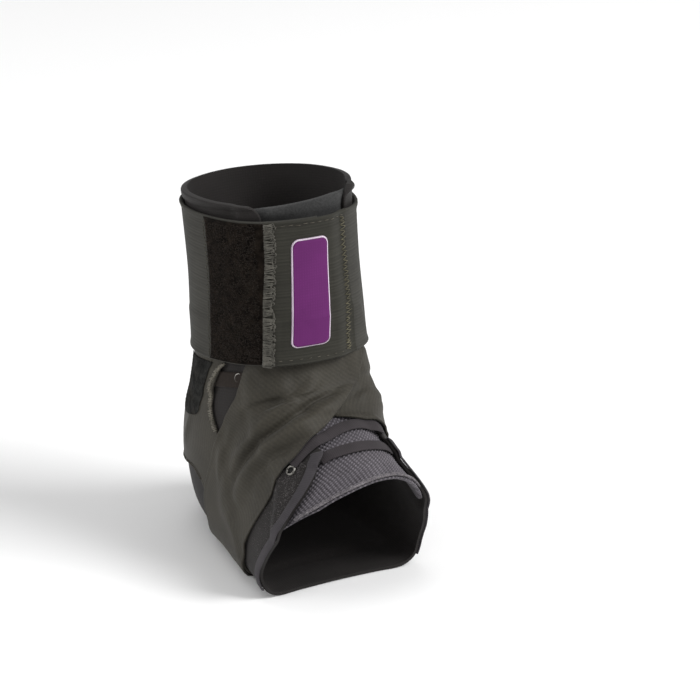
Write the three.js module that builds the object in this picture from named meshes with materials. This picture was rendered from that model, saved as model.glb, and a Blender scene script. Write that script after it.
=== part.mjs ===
// Lace-up stabilising ankle brace, right-hand, in the shape it keeps when worn.
// Millimetres. +Z up, toes towards -Y, heel towards +Y, inner (medial) side towards +X.
// The origin is on the sole, under the upper tube.
import * as THREE from "three";

// ---------------------------------------------------------------- driving dimensions
const LEG_LEAN_DEG = 8; // the upper tube leans back this far
const LEG_FOOT_Z = 76; // height at which the upper tube's axis starts
const LAYER_GAP = 0.3; // air between one layer of cloth and the next
const TONGUE_THICK = 2.4;
const WALL_THICK = 1.8; // boot wall
const RIM_PAD = 1.6; // extra padding in the boot wall's top rim
const STRAP_THICK = 1.2;
const LACE_THICK = 1.0;
const CUFF_THICK = 1.8;
const PILE_THICK = 0.8;
const LABEL_THICK = 0.8;
const BINDING_WIDTH = 5.0;
const BINDING_THICK = 0.9;
const LACE_WIDTH = 6.4;
const UPPER_BAND_WIDTH = 8.0;
const TOE_EDGE_WIDTH = 3.2;
const EYELET_OUTER_R = 2.9;
const EYELET_HOLE_R = 1.4;
const EYELET_THICK = 0.8;
const RAMP = 12; // a layer comes back down over this distance beside what it covers
const FLUSH_BLEND = 2; // rounding between the flat sole and the side walls
const COLUMNS = 36; // facets round a section

// The hollow's sections, from the open upper end over the bend to the open toe end.
// Upper sections lie square to the upper tube's axis: h up the axis, front and back reach, half width.
const LEG_SECTIONS = [
  { h: 126, front: 43.0, back: 45.2, half: 39.0, frontPower: 2.1, backPower: 2.1 },
  { h: 104, front: 40.8, back: 43.1, half: 38.5, frontPower: 2.1, backPower: 2.1 },
  { h: 68, front: 40.2, back: 41.5, half: 38.2, frontPower: 2.1, backPower: 2.0 },
  { h: 36, front: 38.3, back: 41.6, half: 38.4, frontPower: 2.1, backPower: 1.9 },
];
// Lower sections run from a front (instep) point to a back (heel, then sole) point.
const FOOT_SECTIONS = [
  { frontY: -38.5, frontZ: 98.0, backY: 45.5, backZ: 84, medial: 42.0, lateral: 41.6, centre: 0.52, frontPower: 2.1, backPower: 1.9 },
  { frontY: -43.0, frontZ: 91.0, backY: 51.5, backZ: 66, medial: 45.6, lateral: 43.4, centre: 0.53, frontPower: 2.1, backPower: 1.9 },
  { frontY: -49.5, frontZ: 86.0, backY: 58.5, backZ: 46, medial: 46.2, lateral: 42.8, centre: 0.52, frontPower: 2.1, backPower: 2.0 },
  { frontY: -56.5, frontZ: 82.0, backY: 61.5, backZ: 26, medial: 44.6, lateral: 41.2, centre: 0.52, frontPower: 2.1, backPower: 2.1 },
  { frontY: -63.5, frontZ: 78.5, backY: 51.0, backZ: 5, medial: 42.6, lateral: 39.8, centre: 0.54, frontPower: 2.1, backPower: 2.3 },
  { frontY: -70.5, frontZ: 75.0, backY: 27.0, backZ: -2, medial: 41.2, lateral: 39.4, centre: 0.58, frontPower: 2.1, backPower: 2.6 },
  { frontY: -78.5, frontZ: 71.0, backY: -1.0, backZ: -2, medial: 41.2, lateral: 40.4, centre: 0.62, frontPower: 2.1, backPower: 2.8 },
  { frontY: -87.5, frontZ: 67.0, backY: -27.0, backZ: -2, medial: 42.2, lateral: 42.4, centre: 0.66, frontPower: 2.1, backPower: 3.0 },
  { frontY: -97.5, frontZ: 62.8, backY: -51.0, backZ: -2, medial: 43.4, lateral: 45.2, centre: 0.68, frontPower: 2.1, backPower: 3.0 },
  { frontY: -109.0, frontZ: 58.0, backY: -77.0, backZ: -2, medial: 44.2, lateral: 47.6, centre: 0.7, frontPower: 2.1, backPower: 3.0 },
  { frontY: -123.0, frontZ: 53.0, backY: -105.0, backZ: -2, medial: 46.4, lateral: 49.4, centre: 0.7, frontPower: 2.1, backPower: 3.0 },
];
// Where the facets' rows lie, counted in sections (0 is the first upper section).
const ROWS_AT = [
  0.2, 0.5, 0.72, 0.92, 1.5, 2.2, 2.85, 3.3, 3.8, 4.4, 5.0, 5.6, 6.2, 6.8, 7.4, 8.0, 8.6, 9.2, 9.8, 10.4, 11.0, 11.5,
  12.0, 12.5, 13.0,
];

// Outlines lie on the hollow's surface: u is the angle round the section in degrees (0 front,
// negative to the lateral side, +-180 back or sole), v counts the sections.
const LATERAL_FRONT_EDGE = [
  { u: -46, v: 0.69 }, { u: -39, v: 0.74 }, { u: -34.5, v: 0.88 }, { u: -33, v: 1.05 }, { u: -31.5, v: 1.6 },
  { u: -29, v: 2.5 }, { u: -27, v: 3.6 }, { u: -25, v: 5 }, { u: -23, v: 6.5 }, { u: -20.5, v: 8 },
  { u: -18.6, v: 9 }, { u: -19.5, v: 9.4 }, { u: -22.5, v: 9.7 }, { u: -32, v: 10.6 }, { u: -43.5, v: 11.3 },
  { u: -59, v: 11.85 }, { u: -81, v: 12.05 }, { u: -105, v: 12.2 }, { u: -122, v: 12.45 }, { u: -142, v: 12.55 },
  { u: -179.6, v: 12.55 },
];
const MEDIAL_FRONT_EDGE = [
  { u: 42, v: 0.56 }, { u: 36, v: 0.68 }, { u: 32, v: 0.9 }, { u: 31, v: 1.6 }, { u: 30, v: 2.5 }, { u: 29, v: 3.6 },
  { u: 28, v: 5 }, { u: 27, v: 6.5 }, { u: 28.5, v: 7.6 }, { u: 32, v: 8.4 }, { u: 36, v: 9.3 }, { u: 41, v: 10.2 },
  { u: 48, v: 11.1 }, { u: 60, v: 11.8 }, { u: 81, v: 12.1 }, { u: 105, v: 12.25 }, { u: 122, v: 12.45 },
  { u: 142, v: 12.55 }, { u: 179.6, v: 12.55 },
];
const LATERAL_RIM = [
  { u: -179.6, v: 0.5 }, { u: -150, v: 0.53 }, { u: -119, v: 0.57 }, { u: -84, v: 0.62 }, { u: -61, v: 0.67 },
];
const MEDIAL_RIM = [
  { u: 179.6, v: 0.5 }, { u: 150, v: 0.49 }, { u: 119, v: 0.48 }, { u: 84, v: 0.48 }, { u: 61, v: 0.5 },
];
const TONGUE_OUTLINE = [
  { u: -46, v: 0.8 }, { u: -46, v: 2 }, { u: -44, v: 4 }, { u: -42, v: 6 }, { u: -42, v: 8 }, { u: -46, v: 9.5 },
  { u: -55, v: 10.8 }, { u: -64, v: 11.5 }, { u: -60, v: 11.78 }, { u: -36, v: 12.03 }, { u: -16, v: 11.88 },
  { u: 4, v: 11.65 }, { u: 22, v: 11.52 }, { u: 43, v: 11.55 }, { u: 60, v: 11.75 }, { u: 64, v: 11.5 },
  { u: 55, v: 10.8 }, { u: 46, v: 9.5 }, { u: 42, v: 8 }, { u: 42, v: 6 }, { u: 44, v: 4 }, { u: 46, v: 2 },
  { u: 46, v: 0.66 }, { u: 21, v: 0.64 }, { u: -6, v: 0.7 }, { u: -33, v: 0.76 },
];
// A strap goes under the cuff at the front, over the instep, down one side, across under the sole
// and up the other side. Each row is one station: the rear edge and the front edge.
const STRAP_CROSSING = [
  { rearU: -33, rearV: 2.35, frontU: 50, frontV: 2.45 },
  { rearU: -44, rearV: 2.9, frontU: 40, frontV: 3.1 },
  { rearU: -52.5, rearV: 3.8, frontU: 29, frontV: 4.03 },
  { rearU: -58.5, rearV: 4.8, frontU: 17, frontV: 5.1 },
  { rearU: -63, rearV: 5.35, frontU: 6, frontV: 6.2 },
  { rearU: -67.5, rearV: 5.9, frontU: -6, frontV: 7.15 },
  { rearU: -74, rearV: 6.6, frontU: -20, frontV: 8.0 },
  { rearU: -81, rearV: 7.3, frontU: -31.5, frontV: 8.85 },
  { rearU: -88, rearV: 7.75, frontU: -46, frontV: 9.5 },
  { rearU: -96, rearV: 8.15, frontU: -62, frontV: 10.3 },
  { rearU: -105, rearV: 8.6, frontU: -84, frontV: 10.8 },
  { rearU: -115, rearV: 9.1, frontU: -106, frontV: 11.25 },
  { rearU: -128, rearV: 9.3, frontU: -128, frontV: 11.4 },
  { rearU: -150, rearV: 9.4, frontU: -150, frontV: 11.45 },
  { rearU: -180, rearV: 9.45, frontU: -180, frontV: 11.45 },
  { rearU: -210, rearV: 9.4, frontU: -210, frontV: 11.45 },
  { rearU: -232, rearV: 9.3, frontU: -232, frontV: 11.4 },
];
const STRAP_TAIL = [
  { rearU: -245, rearV: 9.2, frontU: -248, frontV: 11.2 },
  { rearU: -253, rearV: 8.8, frontU: -265, frontV: 10.4 },
  { rearU: -260, rearV: 8.3, frontU: -278, frontV: 9.3 },
  { rearU: -261, rearV: 7.8, frontU: -285, frontV: 8.2 },
  { rearU: -256, rearV: 7.35, frontU: -288.5, frontV: 7.0 },
  { rearU: -242, rearV: 7.1, frontU: -289, frontV: 6.03 },
  { rearU: -230, rearV: 6.95, frontU: -288, frontV: 5.2 },
  { rearU: -217, rearV: 6.5, frontU: -287, frontV: 4.5 },
  { rearU: -210, rearV: 5.7, frontU: -288, frontV: 3.9 },
  { rearU: -212, rearV: 4.6, frontU: -292.5, frontV: 3.4 },
  { rearU: -218, rearV: 3.5, frontU: -297, frontV: 2.9 },
  { rearU: -223, rearV: 2.5, frontU: -300, frontV: 2.4 },
];
// The inner strap is the mirror image, with its front edge a little higher on the instep.
const INNER_STRAP_RISE = [
  { station: 4, rise: -0.1 }, { station: 5, rise: -0.35 }, { station: 6, rise: -0.7 }, { station: 7, rise: -1.2 },
  { station: 8, rise: -1.0 }, { station: 9, rise: -0.7 }, { station: 10, rise: -0.3 },
];
const CUFF = { topV: 0.84, topWave: 0.12, bottomV: 3.18, bottomWave: 0.09, fromU: 28.4, toU: 365 };
const FLAP_LEFT_EDGE = [
  { u: -30.8, v: 0.97 }, { u: -31.5, v: 1.57 }, { u: -33.8, v: 2.1 }, { u: -34.5, v: 2.73 }, { u: -35.2, v: 3.26 },
];
const FLAP_RIGHT_U = 27.8;
const PILE = { leftU: -74, rightU: -12, insetV: 0.04 };
const LABEL_ROWS = [
  { v: 1.24, left: -12.5, right: 6.5 }, { v: 1.34, left: -15, right: 8.8 }, { v: 2.0, left: -17.6, right: 7.8 },
  { v: 2.8, left: -18, right: 4.2 }, { v: 2.93, left: -15.5, right: 2 },
];
const CROSS_LACE_PATH = [
  { u: -33, v: 9.0 }, { u: -28, v: 8.7 }, { u: -20, v: 8.35 }, { u: -8, v: 7.85 }, { u: 5, v: 7.5 }, { u: 16, v: 7.5 },
  { u: 24, v: 7.75 },
];
const FRONT_LACE_PATH = [{ u: -15, v: 9.33 }, { u: -5, v: 9.28 }, { u: 8, v: 9.25 }, { u: 20, v: 9.28 }, { u: 29, v: 9.3 }];
const UPPER_BAND_PATHS = {
  upper_lace_band_lateral: [{ u: -84, v: 3.78 }, { u: -72, v: 3.72 }, { u: -62, v: 3.7 }],
  upper_lace_band_medial: [{ u: 84, v: 3.78 }, { u: 72, v: 3.72 }, { u: 62, v: 3.7 }],
};
const BINDING_PATHS = {
  front_binding_lateral: [
    { u: -23.5, v: 9.35 }, { u: -26.5, v: 9.7 }, { u: -35, v: 10.4 }, { u: -47, v: 11.05 }, { u: -61, v: 11.58 },
    { u: -81, v: 11.85 }, { u: -98, v: 11.98 },
  ],
  front_binding_medial: [
    { u: 36, v: 8.5 }, { u: 40, v: 9.3 }, { u: 45, v: 10.1 }, { u: 52, v: 10.9 }, { u: 63, v: 11.55 },
    { u: 81, v: 11.88 }, { u: 98, v: 12.0 },
  ],
};
const TOE_EDGE_PATH = [
  { u: -46, v: 11.8 }, { u: -36, v: 11.85 }, { u: -16, v: 11.7 }, { u: 4, v: 11.47 }, { u: 22, v: 11.34 }, { u: 42, v: 11.36 },
];
const EYELETS = {
  eyelet_front_lateral: { u: -38.5, v: 9.5 },
  eyelet_front_medial: { u: 50, v: 9.35 },
  eyelet_upper_lateral: { u: -54, v: 3.62 },
  eyelet_upper_medial: { u: 54, v: 3.62 },
};

// ---------------------------------------------------------------- colours of the materials
const LOOK = {
  wall: { color: 0x36353a, roughness: 0.85, metalness: 0 },
  tongue: { color: 0x6a6670, roughness: 0.95, metalness: 0 },
  binding: { color: 0x4c4a50, roughness: 0.8, metalness: 0 },
  toeEdge: { color: 0x8b8890, roughness: 0.95, metalness: 0 },
  strap: { color: 0x3f3d37, roughness: 0.75, metalness: 0 },
  lace: { color: 0x4a484d, roughness: 0.8, metalness: 0 },
  cuff: { color: 0x33322f, roughness: 0.85, metalness: 0 },
  pile: { color: 0x29231f, roughness: 1, metalness: 0 },
  label: { color: 0x5c1f62, roughness: 0.6, metalness: 0 },
  metal: { color: 0x8a8a8e, roughness: 0.35, metalness: 1 },
};

// ---------------------------------------------------------------- the hollow's surface
const lean = THREE.MathUtils.degToRad(LEG_LEAN_DEG);
const axisY = Math.sin(lean);
const axisZ = Math.cos(lean);
const SECTIONS = [
  ...LEG_SECTIONS.map((s) => [
    axisY * s.h - axisZ * s.front, LEG_FOOT_Z + axisZ * s.h + axisY * s.front,
    axisY * s.h + axisZ * s.back, LEG_FOOT_Z + axisZ * s.h - axisY * s.back,
    s.half, s.half, 0.5, s.frontPower, s.backPower,
  ]),
  ...FOOT_SECTIONS.map((s) => [
    s.frontY, s.frontZ, s.backY, s.backZ, s.medial, s.lateral, s.centre, s.frontPower, s.backPower,
  ]),
];

// Catmull-Rom interpolation down the table of sections.
function sectionAt(v) {
  const last = SECTIONS.length - 1;
  const i = Math.min(Math.max(Math.floor(v), 0), last - 1);
  const t = v - i;
  return SECTIONS[i].map((_, k) => {
    const p1 = SECTIONS[i][k];
    const p2 = SECTIONS[i + 1][k];
    const p0 = i > 0 ? SECTIONS[i - 1][k] : 2 * p1 - p2;
    const p3 = i + 2 <= last ? SECTIONS[i + 2][k] : 2 * p2 - p1;
    return p1 + 0.5 * t * (p2 - p0 + t * (2 * p0 - 5 * p1 + 4 * p2 - p3 + t * (3 * (p1 - p2) + p3 - p0)));
  });
}

function hollowPoint(uDeg, v) {
  const [fy, fz, by, bz, medial, lateral, centre, frontPower, backPower] = sectionAt(v);
  const u = THREE.MathUtils.degToRad(uDeg);
  const c = Math.cos(u);
  const s = Math.sin(u);
  const cy = fy + (by - fy) * centre;
  const cz = fz + (bz - fz) * centre;
  const dy = (c > 0 ? fy : by) - cy;
  const dz = (c > 0 ? fz : bz) - cz;
  const reach = Math.hypot(dy, dz);
  const width = s > 0 ? medial : lateral;
  const power = c > 0 ? frontPower : backPower;
  const along = Math.abs(reach * c);
  const across = Math.abs(width * s);
  const size = Math.hypot(along, across) + 1e-9;
  const r = ((along / size / reach) ** power + (across / size / width) ** power) ** (-1 / power);
  const k = (r * along) / size / reach;
  return new THREE.Vector3((Math.sign(s) * r * across) / size, cy + k * dy, cz + k * dz);
}

function hollowNormal(uDeg, v) {
  const du = hollowPoint(uDeg + 0.6, v).sub(hollowPoint(uDeg - 0.6, v));
  const dv = hollowPoint(uDeg, v + 0.01).sub(hollowPoint(uDeg, v - 0.01));
  return dv.cross(du).normalize();
}

// Cloth that would go below the standing surface lies flat on it instead.
function flatten(z, floor) {
  const d = z - floor;
  if (d > FLUSH_BLEND) return z;
  if (d < -FLUSH_BLEND) return floor;
  return floor + (d + FLUSH_BLEND) ** 2 / (4 * FLUSH_BLEND);
}

const rows = ROWS_AT.length;
const nodeAt = (i, j) => j * COLUMNS + (((i % COLUMNS) + COLUMNS) % COLUMNS);
const grid = [];
for (let j = 0; j < rows; j++)
  for (let i = 0; i < COLUMNS; i++) {
    const u = (360 * i) / COLUMNS - 180;
    const v = ROWS_AT[j];
    grid.push({ u, v, point: hollowPoint(u, v), normal: hollowNormal(u, v) });
  }
const facets = [];
for (let j = 0; j < rows - 1; j++)
  for (let i = 0; i < COLUMNS; i++) {
    const a = nodeAt(i, j);
    const b = nodeAt(i + 1, j);
    const c = nodeAt(i + 1, j + 1);
    const d = nodeAt(i, j + 1);
    facets.push([a, d, c], [a, c, b]);
  }

// ---------------------------------------------------------------- outlines on the surface
function densify(outline) {
  const points = [];
  outline.forEach((p, i) => {
    const q = outline[(i + 1) % outline.length];
    const steps = Math.max(1, Math.ceil(Math.hypot((q.u - p.u) * 0.75, (q.v - p.v) * 12) / 4));
    for (let k = 0; k < steps; k++) points.push({ u: p.u + ((q.u - p.u) * k) / steps, v: p.v + ((q.v - p.v) * k) / steps });
  });
  return points;
}

function holds(outline, u, v) {
  let inside = false;
  for (let i = 0, j = outline.length - 1; i < outline.length; j = i++) {
    const a = outline[i];
    const b = outline[j];
    if (a.v > v !== b.v > v && u < ((b.u - a.u) * (v - a.v)) / (b.v - a.v) + a.u) inside = !inside;
  }
  return inside;
}

// Distance from each grid node to the outline, positive inside.
function insideOf(outline) {
  const dense = densify(outline);
  const points = dense.map((p) => hollowPoint(p.u, p.v));
  const line = new THREE.Line3();
  const near = new THREE.Vector3();
  return grid.map(({ u, v, point }) => {
    let best = Infinity;
    points.forEach((p, i) => {
      line.set(p, points[(i + 1) % points.length]).closestPointToPoint(point, true, near);
      best = Math.min(best, near.distanceTo(point));
    });
    return [-360, 0, 360].some((turn) => holds(outline, u + turn, v)) ? best + 1e-3 : -best - 1e-3;
  });
}

// 1 where a piece lies and on every facet it touches, falling to 0 over RAMP beside it.
function liftOver(inside, reach = 0) {
  const touched = new Array(grid.length).fill(false);
  for (const f of facets) if (f.some((n) => inside[n] > -reach)) f.forEach((n) => (touched[n] = true));
  return inside.map((d, n) => {
    if (touched[n]) return 1;
    return THREE.MathUtils.smoothstep(d + reach + 6 + RAMP, 0, RAMP);
  });
}

function strapOutline(side, rise) {
  const stations = [...STRAP_CROSSING, ...STRAP_TAIL];
  const rear = stations.map((s) => ({ u: side * s.rearU, v: s.rearV }));
  const front = stations.map((s, i) => {
    const up = rise.find((r) => r.station === i);
    return { u: side * s.frontU, v: s.frontV + (up ? up.rise : 0) };
  });
  return [...rear, ...front.reverse()];
}

function spread(from, to, step, make) {
  const count = Math.round(Math.abs(to - from) / step);
  return Array.from({ length: count + 1 }, (_, i) => make(from + ((to - from) * i) / count));
}
const cuffTop = (u) => CUFF.topV + CUFF.topWave * Math.cos(THREE.MathUtils.degToRad(u));
const cuffBottom = (u) => CUFF.bottomV + CUFF.bottomWave * Math.cos(THREE.MathUtils.degToRad(u));

const OUTLINES = {
  lateral_quarter: [...LATERAL_RIM, ...LATERAL_FRONT_EDGE],
  medial_quarter: [...MEDIAL_RIM, ...MEDIAL_FRONT_EDGE],
  tongue: TONGUE_OUTLINE,
  strap_outer: strapOutline(1, []),
  strap_inner: strapOutline(-1, INNER_STRAP_RISE),
  cuff_band: [
    ...spread(CUFF.fromU, CUFF.toU, 8, (u) => ({ u, v: cuffTop(u) })),
    ...spread(CUFF.toU, CUFF.fromU, 8, (u) => ({ u, v: cuffBottom(u) })),
  ],
  cuff_loop_patch: [
    ...spread(PILE.leftU, PILE.rightU, 8, (u) => ({ u, v: cuffTop(u) + PILE.insetV })),
    ...spread(PILE.rightU, PILE.leftU, 8, (u) => ({ u, v: cuffBottom(u) - PILE.insetV })),
  ],
  cuff_flap: [
    ...FLAP_LEFT_EDGE,
    ...spread(-30, FLAP_RIGHT_U, 8, (u) => ({ u, v: cuffBottom(u) + 0.01 })),
    ...spread(FLAP_RIGHT_U, -26, 8, (u) => ({ u, v: cuffTop(u) - 0.01 })),
  ],
  label: [...LABEL_ROWS.map((r) => ({ u: r.left, v: r.v })), ...LABEL_ROWS.map((r) => ({ u: r.right, v: r.v })).reverse()],
};
const inside = Object.fromEntries(Object.entries(OUTLINES).map(([name, outline]) => [name, insideOf(outline)]));

function pathPoints(path, step) {
  const curve = new THREE.SplineCurve(path.map((p) => new THREE.Vector2(p.u, p.v * 16)));
  return curve.getSpacedPoints(Math.max(2, Math.round(curve.getLength() / step))).map((p) => ({ u: p.x, v: p.y / 16 }));
}
function nearPath(paths) {
  const points = paths.flatMap((path) => pathPoints(path, 3).map((p) => hollowPoint(p.u, p.v)));
  return grid.map(({ point }) => -Math.min(...points.map((p) => p.distanceTo(point))));
}

// ---------------------------------------------------------------- heights above the hollow
const overTongue = liftOver(inside.tongue);
const overWall = liftOver(inside.lateral_quarter.map((d, n) => Math.max(d, inside.medial_quarter[n])));
const overLace = liftOver(nearPath([CROSS_LACE_PATH]), LACE_WIDTH / 2);
const overUpperBand = liftOver(nearPath(Object.values(UPPER_BAND_PATHS)), UPPER_BAND_WIDTH / 2 + 1);
const overInner = liftOver(inside.strap_inner);
const overOuter = liftOver(inside.strap_outer);

const height = {};
height.tongueIn = grid.map(() => 0.2);
height.tongueOut = grid.map(() => 0.2 + TONGUE_THICK);
height.wallIn = grid.map((_, n) => 0.2 + (TONGUE_THICK + LAYER_GAP) * overTongue[n]);
height.wallOut = grid.map(
  (g, n) => height.wallIn[n] + WALL_THICK + RIM_PAD * THREE.MathUtils.smoothstep(0.86 - g.v, 0, 0.14),
);
height.boot = grid.map((_, n) => THREE.MathUtils.lerp(height.tongueOut[n], height.wallOut[n], overWall[n]));
height.laced = grid.map(
  (_, n) => height.boot[n] + Math.max(overLace[n] * (LACE_THICK + 0.5), overUpperBand[n] * (LACE_THICK + 0.5)),
);
height.innerIn = height.laced.map((h) => h + LAYER_GAP);
height.innerOut = height.innerIn.map((h) => h + STRAP_THICK);
height.crossed = height.laced.map((h, n) => h + overInner[n] * (STRAP_THICK + LAYER_GAP));
height.outerIn = height.crossed.map((h) => h + LAYER_GAP);
height.outerOut = height.outerIn.map((h) => h + STRAP_THICK);
height.strapped = height.crossed.map((h, n) => h + overOuter[n] * (STRAP_THICK + LAYER_GAP));
const STACK = CUFF_THICK + 2 * 0.25 + PILE_THICK; // from under the band to under the flap
// The flap comes down past the band's end, to the height where band and flap are one strap.
const flapRise = grid.map(({ u }) => STACK * (1 - THREE.MathUtils.smoothstep(u, 11, 25)));
height.cuffIn = height.strapped.map((h) => h + LAYER_GAP);
height.cuffOut = height.cuffIn.map((h) => h + CUFF_THICK);
height.pileIn = height.strapped.map((h) => h + LAYER_GAP + CUFF_THICK + 0.25);
height.pileOut = height.pileIn.map((h) => h + PILE_THICK);
height.flapIn = height.strapped.map((h, n) => h + LAYER_GAP + flapRise[n]);
height.flapOut = height.flapIn.map((h) => h + CUFF_THICK);
height.labelIn = height.flapOut.map((h) => h + 0.25);
height.labelOut = height.labelIn.map((h) => h + LABEL_THICK);

// A grid node raised by h, laid flat where it would be under the sole.
function raised(n, h) {
  const { point, normal } = grid[n];
  const p = point.clone().addScaledVector(normal, h);
  p.z = flatten(p.z, height.strapped[n] - h);
  return p;
}

// ---------------------------------------------------------------- solids
function solid(name, points, triangles, look, parent) {
  const geometry = new THREE.BufferGeometry();
  geometry.setAttribute("position", new THREE.Float32BufferAttribute(points.flatMap((p) => [p.x, p.y, p.z]), 3));
  geometry.setIndex(triangles.flat());
  geometry.computeVertexNormals();
  const mesh = new THREE.Mesh(geometry, new THREE.MeshStandardMaterial(look));
  mesh.name = name;
  parent.add(mesh);
  return mesh;
}

// A wall of cloth: the facets inside an outline, between two heights, closed round the rim.
function clothWall(name, insideField, low, high, look, parent) {
  const points = [];
  const pairOf = new Map();
  const pair = (key, inner, outer) => {
    if (!pairOf.has(key)) {
      pairOf.set(key, points.length);
      points.push(inner(), outer());
    }
    return pairOf.get(key);
  };
  const atNode = (n) => pair("n" + n, () => raised(n, low[n]), () => raised(n, high[n]));
  const onEdge = (a, b) => {
    const [m, n] = a < b ? [a, b] : [b, a];
    const t = THREE.MathUtils.clamp(insideField[m] / (insideField[m] - insideField[n]), 0.03, 0.97);
    const mix = (heights) => () => raised(m, heights[m]).lerp(raised(n, heights[n]), t);
    return pair("e" + m + "_" + n, mix(low), mix(high));
  };
  const triangles = [];
  const open = new Map();
  for (const facet of facets) {
    const ring = [];
    facet.forEach((a, k) => {
      const b = facet[(k + 1) % 3];
      if (insideField[a] > 0) ring.push(atNode(a));
      if (insideField[a] > 0 !== insideField[b] > 0) ring.push(onEdge(a, b));
    });
    for (let k = 1; k + 1 < ring.length; k++) {
      triangles.push([ring[0] + 1, ring[k] + 1, ring[k + 1] + 1], [ring[0], ring[k + 1], ring[k]]);
    }
    ring.forEach((a, k) => {
      const b = ring[(k + 1) % ring.length];
      const twin = b + ">" + a;
      if (open.has(twin)) open.delete(twin);
      else open.set(a + ">" + b, [a, b]);
    });
  }
  for (const [a, b] of open.values()) triangles.push([a, b, b + 1], [a, b + 1, a + 1]);
  return solid(name, points, triangles, look, parent);
}

// The facet under (u, v) and the weights of its three nodes.
function facetUnder(u, v) {
  const turned = (((u + 180) % 360) + 360) % 360;
  const x = (turned * COLUMNS) / 360;
  const i = Math.floor(x);
  let j = 0;
  while (j < rows - 2 && ROWS_AT[j + 1] < v) j++;
  const s = x - i;
  const t = THREE.MathUtils.clamp((v - ROWS_AT[j]) / (ROWS_AT[j + 1] - ROWS_AT[j]), 0, 1);
  const [a, b, c, d] = [nodeAt(i, j), nodeAt(i + 1, j), nodeAt(i + 1, j + 1), nodeAt(i, j + 1)];
  return t > s
    ? [[a, 1 - t], [d, t - s], [c, s]]
    : [[a, 1 - s], [c, t], [b, s - t]];
}
function onFacets(u, v, heights, extra) {
  const p = new THREE.Vector3();
  for (const [n, weight] of facetUnder(u, v)) p.addScaledVector(raised(n, heights[n] + extra), weight);
  return p;
}

// A flat tape laid along a path, following the layer under it.
function tape(name, path, width, thick, heights, clear, look, parent, step = 5) {
  const across = [-0.5, 0, 0.5];
  const stations = pathPoints(path, step);
  const points = [];
  stations.forEach((p, k) => {
    const before = stations[Math.max(k - 1, 0)];
    const after = stations[Math.min(k + 1, stations.length - 1)];
    const normal = hollowNormal(p.u, p.v);
    const ahead = hollowPoint(after.u, after.v).sub(hollowPoint(before.u, before.v)).normalize();
    const side = ahead.clone().cross(normal).normalize();
    const pu = hollowPoint(p.u + 0.5, p.v).sub(hollowPoint(p.u - 0.5, p.v));
    const pv = hollowPoint(p.u, p.v + 0.02).sub(hollowPoint(p.u, p.v - 0.02)).divideScalar(0.04);
    const [uu, uv, vv] = [pu.dot(pu), pu.dot(pv), pv.dot(pv)];
    const det = uu * vv - uv * uv;
    const [su, sv] = [side.dot(pu), side.dot(pv)];
    const [du, dv] = [(su * vv - sv * uv) / det, (sv * uu - su * uv) / det];
    for (const a of across) {
      const u = p.u + a * width * du;
      const v = p.v + a * width * dv;
      points.push(onFacets(u, v, heights, clear), onFacets(u, v, heights, clear + thick));
    }
  });
  const triangles = [];
  const quad = (a, b, c, d) => triangles.push([a, b, c], [a, c, d]);
  const at = (k, m, top) => k * 6 + m * 2 + top;
  const last = stations.length - 1;
  for (let k = 0; k < last; k++) {
    for (let m = 0; m < 2; m++) {
      quad(at(k, m, 1), at(k, m + 1, 1), at(k + 1, m + 1, 1), at(k + 1, m, 1));
      quad(at(k, m, 0), at(k + 1, m, 0), at(k + 1, m + 1, 0), at(k, m + 1, 0));
    }
    quad(at(k, 0, 0), at(k, 0, 1), at(k + 1, 0, 1), at(k + 1, 0, 0));
    quad(at(k, 2, 0), at(k + 1, 2, 0), at(k + 1, 2, 1), at(k, 2, 1));
  }
  for (let m = 0; m < 2; m++) {
    quad(at(0, m, 0), at(0, m + 1, 0), at(0, m + 1, 1), at(0, m, 1));
    quad(at(last, m, 0), at(last, m, 1), at(last, m + 1, 1), at(last, m + 1, 0));
  }
  return solid(name, points, triangles, look, parent);
}

const brace = new THREE.Group();
const boot = new THREE.Group();
const straps = new THREE.Group();
const cuff = new THREE.Group();
brace.add(boot, straps, cuff);

clothWall("tongue", inside.tongue, height.tongueIn, height.tongueOut, LOOK.tongue, boot);
clothWall("lateral_quarter", inside.lateral_quarter, height.wallIn, height.wallOut, LOOK.wall, boot);
clothWall("medial_quarter", inside.medial_quarter, height.wallIn, height.wallOut, LOOK.wall, boot);
for (const [name, path] of Object.entries(BINDING_PATHS))
  tape(name, path, BINDING_WIDTH, BINDING_THICK, height.wallOut, 0.45, LOOK.binding, boot);
tape("tongue_toe_edge", TOE_EDGE_PATH, TOE_EDGE_WIDTH, 0.8, height.tongueOut, 0.4, LOOK.toeEdge, boot);
tape("cross_lace", CROSS_LACE_PATH, LACE_WIDTH, LACE_THICK, height.boot, 0.35, LOOK.lace, boot);
tape("front_lace", FRONT_LACE_PATH, LACE_WIDTH, LACE_THICK, height.tongueOut, 0.4, LOOK.lace, boot);
for (const [name, path] of Object.entries(UPPER_BAND_PATHS))
  tape(name, path, UPPER_BAND_WIDTH, LACE_THICK, height.wallOut, 0.35, LOOK.lace, boot);

clothWall("strap_inner", inside.strap_inner, height.innerIn, height.innerOut, LOOK.strap, straps);
clothWall("strap_outer", inside.strap_outer, height.outerIn, height.outerOut, LOOK.strap, straps);
clothWall("cuff_band", inside.cuff_band, height.cuffIn, height.cuffOut, LOOK.cuff, cuff);
clothWall("cuff_loop_patch", inside.cuff_loop_patch, height.pileIn, height.pileOut, LOOK.pile, cuff);
clothWall("cuff_flap", inside.cuff_flap, height.flapIn, height.flapOut, LOOK.cuff, cuff);
clothWall("label", inside.label, height.labelIn, height.labelOut, LOOK.label, cuff);

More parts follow.
